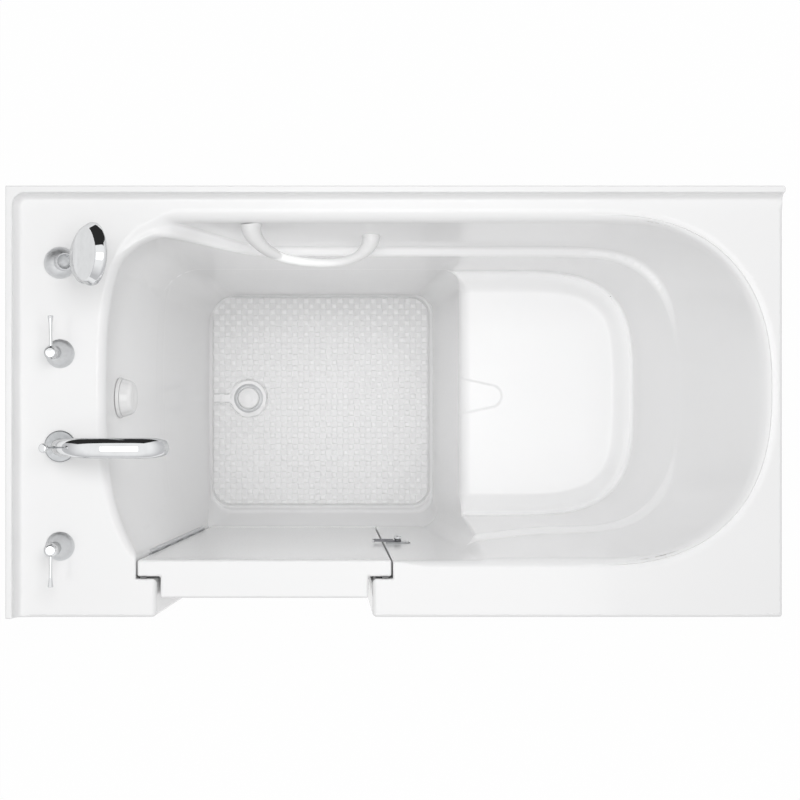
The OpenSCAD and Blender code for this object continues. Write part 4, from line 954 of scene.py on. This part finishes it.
def make_drain():
    ring = round_profile([(20, -6), (20, -1.5), (24.1, 0.8), (24.7, 2.9), (28.6, 2.9), (33, 1.2), (33, 0)],
                         [0, 0.8, 1.0, 0.9, 1.2, 0.3, 0])
    tube = [(20, -33), (22, -33), (22, -5.8), (20, -5.8), (20, -33)]
    at = (DRAIN_X, WASTE_Y, FLOOR_Z)
    pieces = [lathe(ring[::-1], at, steps=72), lathe(tube, at, steps=40)]
    solid_object("drain_ring", pieces, "tub", "chrome", satin_chrome, 34, "drain_flange")
    cap = round_profile([(0, 0), (23.6, 0), (23.8, 1.6), (21.5, 3.9), (12, 4.9), (0, 5)],
                        [0, 0.5, 1.2, 2.5, 5, 0])
    stem = [(0, -31.8), (3.0, -31.8), (4, -31), (4, 0.4), (0, 0.4)]
    at = (DRAIN_X, WASTE_Y, FLOOR_Z + 1.3)
    pieces = [lathe(cap, at), lathe(stem, at, steps=24)]
    solid_object("drain_cap", pieces, "stopper", "trim_white", acrylic, 34, "drain_stopper")


OVERFLOW_AT = np.array((-504.2186, 8.0, 865.0))
OVERFLOW_TILT = math.radians(6.0402)
OVERFLOW_AXIS = (math.cos(OVERFLOW_TILT), 0, math.sin(OVERFLOW_TILT))


def make_overflow():
    plate = round_profile([(0, 0), (37.3, 0), (37.3, 1.6), (35.2, 6), (0, 6)], [0, 0.6, 1.2, 1.2, 0])
    spindle = [(4, 5.5), (4, 16.8), (3.2, 17.2), (0, 17.2)]
    pieces = [lathe(plate, OVERFLOW_AT, OVERFLOW_AXIS, 72), lathe(spindle, OVERFLOW_AT, OVERFLOW_AXIS, 24)]
    solid_object("overflow_escutcheon", pieces, "tub", "trim_white", trim_white, 34, "overflow_plate")
    edge = [(4.1, 6.4), (34.4, 6.4), (34.8, 8), (30.4, 22), (25.6, 26.6), (14, 27.2), (0, 26.4)]
    co, faces = lathe(round_profile(edge, [0, 0.6, 1.2, 4, 5, 5, 0]), OVERFLOW_AT, OVERFLOW_AXIS, 120)
    # Shallow finger flutes round the knob's edge
    axes = frame_from(OVERFLOW_AXIS)
    u, v, h = axes @ (np.array(co) - OVERFLOW_AT).T
    r = np.hypot(u, v)
    flute = 0.7 * np.maximum(np.cos(9 * np.arctan2(v, u)), 0) ** 2 * np.clip((r - 24) / 6, 0, 1)
    scale = 1 - flute / np.maximum(r, 1)
    knob = (OVERFLOW_AT + np.stack([u * scale, v * scale, h], 1) @ axes, faces)
    solid_object("overflow_dial_knob", [knob], "overflow_dial", "trim_white", trim_white, 34, "overflow_knob")


make_drain()
make_overflow()


def door_solid(name, xa, xb, za, ya, yb):
    """Panel of the door, narrower towards its foot."""
    lean = (DECK - za) * TAPER
    outline = [(xa, DECK), (xa + lean, za), (xb - lean, za), (xb, DECK)]
    co = [(x, y, z) for y in (ya, yb) for x, z in outline]
    faces = [(0, 1, 2, 3), (7, 6, 5, 4)] + [(i, i + 4, (i + 1) % 4 + 4, (i + 1) % 4) for i in range(4)]
    return plain_object(name, co, faces)


def make_door():
    """The door is one moulding: a wide inner leaf and the narrower body that fills the portal."""
    door = door_solid("door_moulding", DOOR_X0, DOOR_X1, DOOR_Z0, DOOR_STEP_Y, FRONT_Y)
    outer = door_solid("outer", DOOR_X0 + DOOR_LAP, DOOR_X1 - DOOR_LAP, BODY_Z0, DOOR_Y0, DOOR_STEP_Y + 8)
    union = door.modifiers.new("union", "BOOLEAN")
    union.operation = "UNION"
    union.solver = "EXACT"
    union.object = outer
    merge_flat(door)
    add_bevel(door, 4.2, 4)
    bpy.data.objects.remove(outer)
    even_normals(door, 40)
    fit_out(door, "door", "door_white", door_gelcoat, "door_inner_panel", "door_outer_panel")


make_door()


LATCH = np.array((DOOR_X1 - 356 * TAPER + 29, FRONT_Y, 609.0))


def flat_bar(xa, xb, half, ya, yb, round_a, round_b, steps=10):
    """Bar lying on the wall, its ends rounded in plan; x along the wall, y out of it."""
    outline = []
    for cx, start, rounded in ((xb, -math.pi / 2, round_b), (xa, math.pi / 2, round_a)):
        sign = 1 if cx == xb else -1
        if rounded:
            for k in range(steps + 1):
                a = start + math.pi * k / steps
                outline.append((cx - sign * half + half * math.cos(a), half * math.sin(a)))
        else:
            outline += [(cx, -sign * half), (cx, sign * half)]
    n = len(outline)
    co = [LATCH + np.array((x, y, z)) for y in (ya, yb) for x, z in outline]
    faces = [tuple(range(n)), tuple(range(2 * n - 1, n - 1, -1))]
    faces += [(i, i + n, (i + 1) % n + n, (i + 1) % n) for i in range(n)]
    return co, faces


def make_latch():
    plate = flat_bar(-23.6, 25, 11.8, 0.0, 2.5, False, True)
    solid_object("latch_plate", [plate], "tub", "chrome", painted_dark_base_chrome, 34, "latch_base", bevel=0.6)
    head = [(3.6, 2.2), (3.4, 3.4), (2.0, 3.9), (0, 4.0)]
    fixings = [lathe(head, LATCH + np.array((19, 0, z)), (0, 1, 0), 20) for z in (-6.5, 6.5)]
    fixings.append(lathe([(3, 2.2), (3, 11.8), (0, 11.8)], LATCH, (0, 1, 0), 24))
    solid_object("latch_fixings", fixings, "tub", "chrome", chrome, 34)
    arm = flat_bar(-46, 5, 3.4, 2.8, 6.8, False, True)
    rib = flat_bar(-47, -9.5, 2.7, 6.6, 8.4, True, False)
    hub = round_profile([(3.06, 2.8), (7, 2.8), (7, 6.8), (3.06, 6.8)], [0, 0.6, 0.6, 0])
    pieces = [arm, rib, lathe(hub, LATCH, (0, 1, 0), 40)]
    # The lever takes the darker chrome, a painted dark reflection
    solid_object("latch_lever", pieces, "latch", "chrome", painted_dark_latch_chrome, 34, "latch_arm")
    tip = [(3.4 * math.sin(a), -3.4 * math.cos(a)) for a in np.linspace(0.1, math.pi - 0.1, 12)]
    tip = lathe([(0, -3.4)] + tip + [(0, 3.4)], LATCH + np.array((-48, 4.8, 0)), (-1, 0, 0), 24)
    knob = [(5.0 + 2.6 * math.sin(a), 10.6 - 3.7 * math.cos(a)) for a in np.linspace(0, math.pi, 14)]
    knob = lathe([(3.1, 6.9)] + knob + [(3.0, 14.8), (0, 14.9)], LATCH, (0, 1, 0), 40)
    solid_object("latch_turn_knob", [knob, tip], "latch", "chrome", chrome, 34, "latch_knob")


make_latch()

# Aprons, and the parts that keep the CAD's shape
for side in ("left", "right", "sill", "end"):
    copied_node("apron_panel_" + side, "apron_sheet_" + side, "tub", "apron_white", acrylic, 1.4)
FINISHES = {
    satin_steel: "frame_rail_front frame_rail_back frame_cross_left frame_cross_middle frame_end_left "
                 "frame_end_right post_front_left post_front_right post_back_left post_back_right "
                 "seat_bar_front seat_bar_rear seat_legs",
    screw_steel: "apron_screws grab_bar_bolts foot_studs foot_nuts",
    foot_plastic: "foot_pads",
    seal_rubber: "door_seal",
    hinge_steel: "hinge_frame_leaf hinge_door_leaf hinge_pin",
    chrome: "waste_tailpiece deck_nuts",
    black_rubber: "drain_gasket drain_cable",
    pipe_plastic: "drain_body drain_pipe waste_tee overflow_pipe overflow_body",
    brass: "hot_valve cold_valve mixing_tee",
    copper: "hot_crossover cold_crossover",
}
for finish, names in FINISHES.items():
    for name in names.split():
        nodes[name].data.materials.clear()
        nodes[name].data.materials.append(finish)


# Light, floor and camera
def looked_at(tree):
    """Light Path's camera, glossy and transmission rays together."""
    ray = add_node(tree, "LightPath").outputs
    seen = {0: ray["Is Camera Ray"], 1: ray["Is Glossy Ray"]}
    seen = add_node(tree, "Math", seen, operation="ADD").outputs[0]
    seen = {0: seen, 1: ray["Is Transmission Ray"]}
    return add_node(tree, "Math", seen, operation="ADD", use_clamp=True).outputs[0]


world = bpy.data.worlds.new("studio")
bpy.context.scene.world = world
world.use_nodes = True
tree = world.node_tree
tree.nodes.clear()
path = add_node(tree, "LightPath")
coord = add_node(tree, "TexCoord")
split = add_node(tree, "SeparateXYZ", {0: coord.outputs["Generated"]})
soft = add_node(tree, "Background", {"Color": (1, 1, 1, 1), "Strength": 0.51})
# What the metal sees: white overhead, greyer towards the horizon
dim = ramp_colour(tree, split.outputs["Z"], 0.15, 0.75, (0.62, 0.62, 0.63), (1, 1, 1))
bare = add_node(tree, "MixRGB", {0: path.outputs["Is Camera Ray"], 1: dim, 2: (1, 1, 1, 1)})
white = add_node(tree, "Background", {"Color": bare.outputs[0], "Strength": 1.0})
mix = add_node(tree, "MixShader", {0: looked_at(tree), 1: soft.outputs[0], 2: white.outputs[0]})
add_node(tree, "OutputWorld", {"Surface": mix.outputs[0]})


def lamp(name, place_at, aim, size, watts, spread=180):
    data = bpy.data.lights.new(name, "AREA")
    data.shape = "DISK"
    data.size = size
    data.energy = watts
    data.spread = math.radians(spread)
    obj = linked(name, data)
    obj.location = place_at
    obj.rotation_euler = (Vector(aim) - Vector(place_at)).to_track_quat("-Z", "Y").to_euler()
    obj.visible_camera = False
    obj.visible_glossy = False


lamp("softbox", (0.0, 0.32, 3.0), (0.0, 0.1, 0), 0.9, 14.7)
# Lifts the basin's walls, which the deck hides from the other lights
lamp("basin_fill", (-0.2, 0.03, 0.93), (-0.2, -0.03, 0), 0.5, 0.28)
lamp("floor_fill", (-0.17, 0.03, 0.93), (-0.17, -0.03, 0), 0.4, 0.14, 70)
daylight = bpy.data.lights.new("daylight", "SUN")
daylight.energy = 0.43
daylight.angle = math.radians(50)
linked("daylight", daylight).visible_glossy = False


def card(name, corners, level):
    """Card beside the set that only reflections see, as a photographer uses on chrome."""
    mesh = bpy.data.meshes.new(name)
    mesh.from_pydata(corners, [], [(0, 1, 2, 3)])
    sheet = linked(name, mesh)
    mat, tree, _ = new_material(name)
    glow = add_node(tree, "Emission", {"Color": (1, 1, 1, 1), "Strength": level})
    tree.links.new(glow.outputs[0], tree.nodes["Material Output"].inputs["Surface"])
    mesh.materials.append(mat)
    for flag in ("visible_camera", "visible_diffuse", "visible_shadow", "visible_transmission"):
        setattr(sheet, flag, False)


card("dark_card", [(-6, 2.2, 0.3), (1.6, 2.2, 0.3), (1.6, 2.2, 5.0), (-6, 2.2, 5.0)], 0.03)
card("bright_card", [(-2.6, -1.6, 6.0), (1.0, -1.6, 6.0), (1.0, 0.4, 6.0), (-2.6, 0.4, 6.0)], 1.9)

bpy.ops.mesh.primitive_plane_add(size=14, location=(0, 0, 0))
ground = bpy.context.object
ground.name = "studio_floor"
mat, tree, shader = new_material("studio_floor")
shader.inputs["Base Color"].default_value = (0.92, 0.92, 0.92, 1)
shader.inputs["Roughness"].default_value = 0.9
glow = add_node(tree, "Emission", {"Color": (1, 1, 1, 1), "Strength": 1.0})
share = add_node(tree, "Math", {0: looked_at(tree), 1: 0.98}, operation="MULTIPLY")
mix = add_node(tree, "MixShader", {0: share.outputs[0], 1: shader.outputs[0], 2: glow.outputs[0]})
tree.links.new(mix.outputs[0], tree.nodes["Material Output"].inputs["Surface"])
ground.data.materials.append(mat)

camera_data = bpy.data.cameras.new("camera")
camera_data.sensor_width = 36
camera_data.lens = 36 * 3000 / (800 * 1.772)
camera = linked("camera", camera_data)
camera.location = (0.008, 0.004, 3.965)
bpy.context.scene.camera = camera
bpy.context.scene.view_settings.view_transform = "Standard"
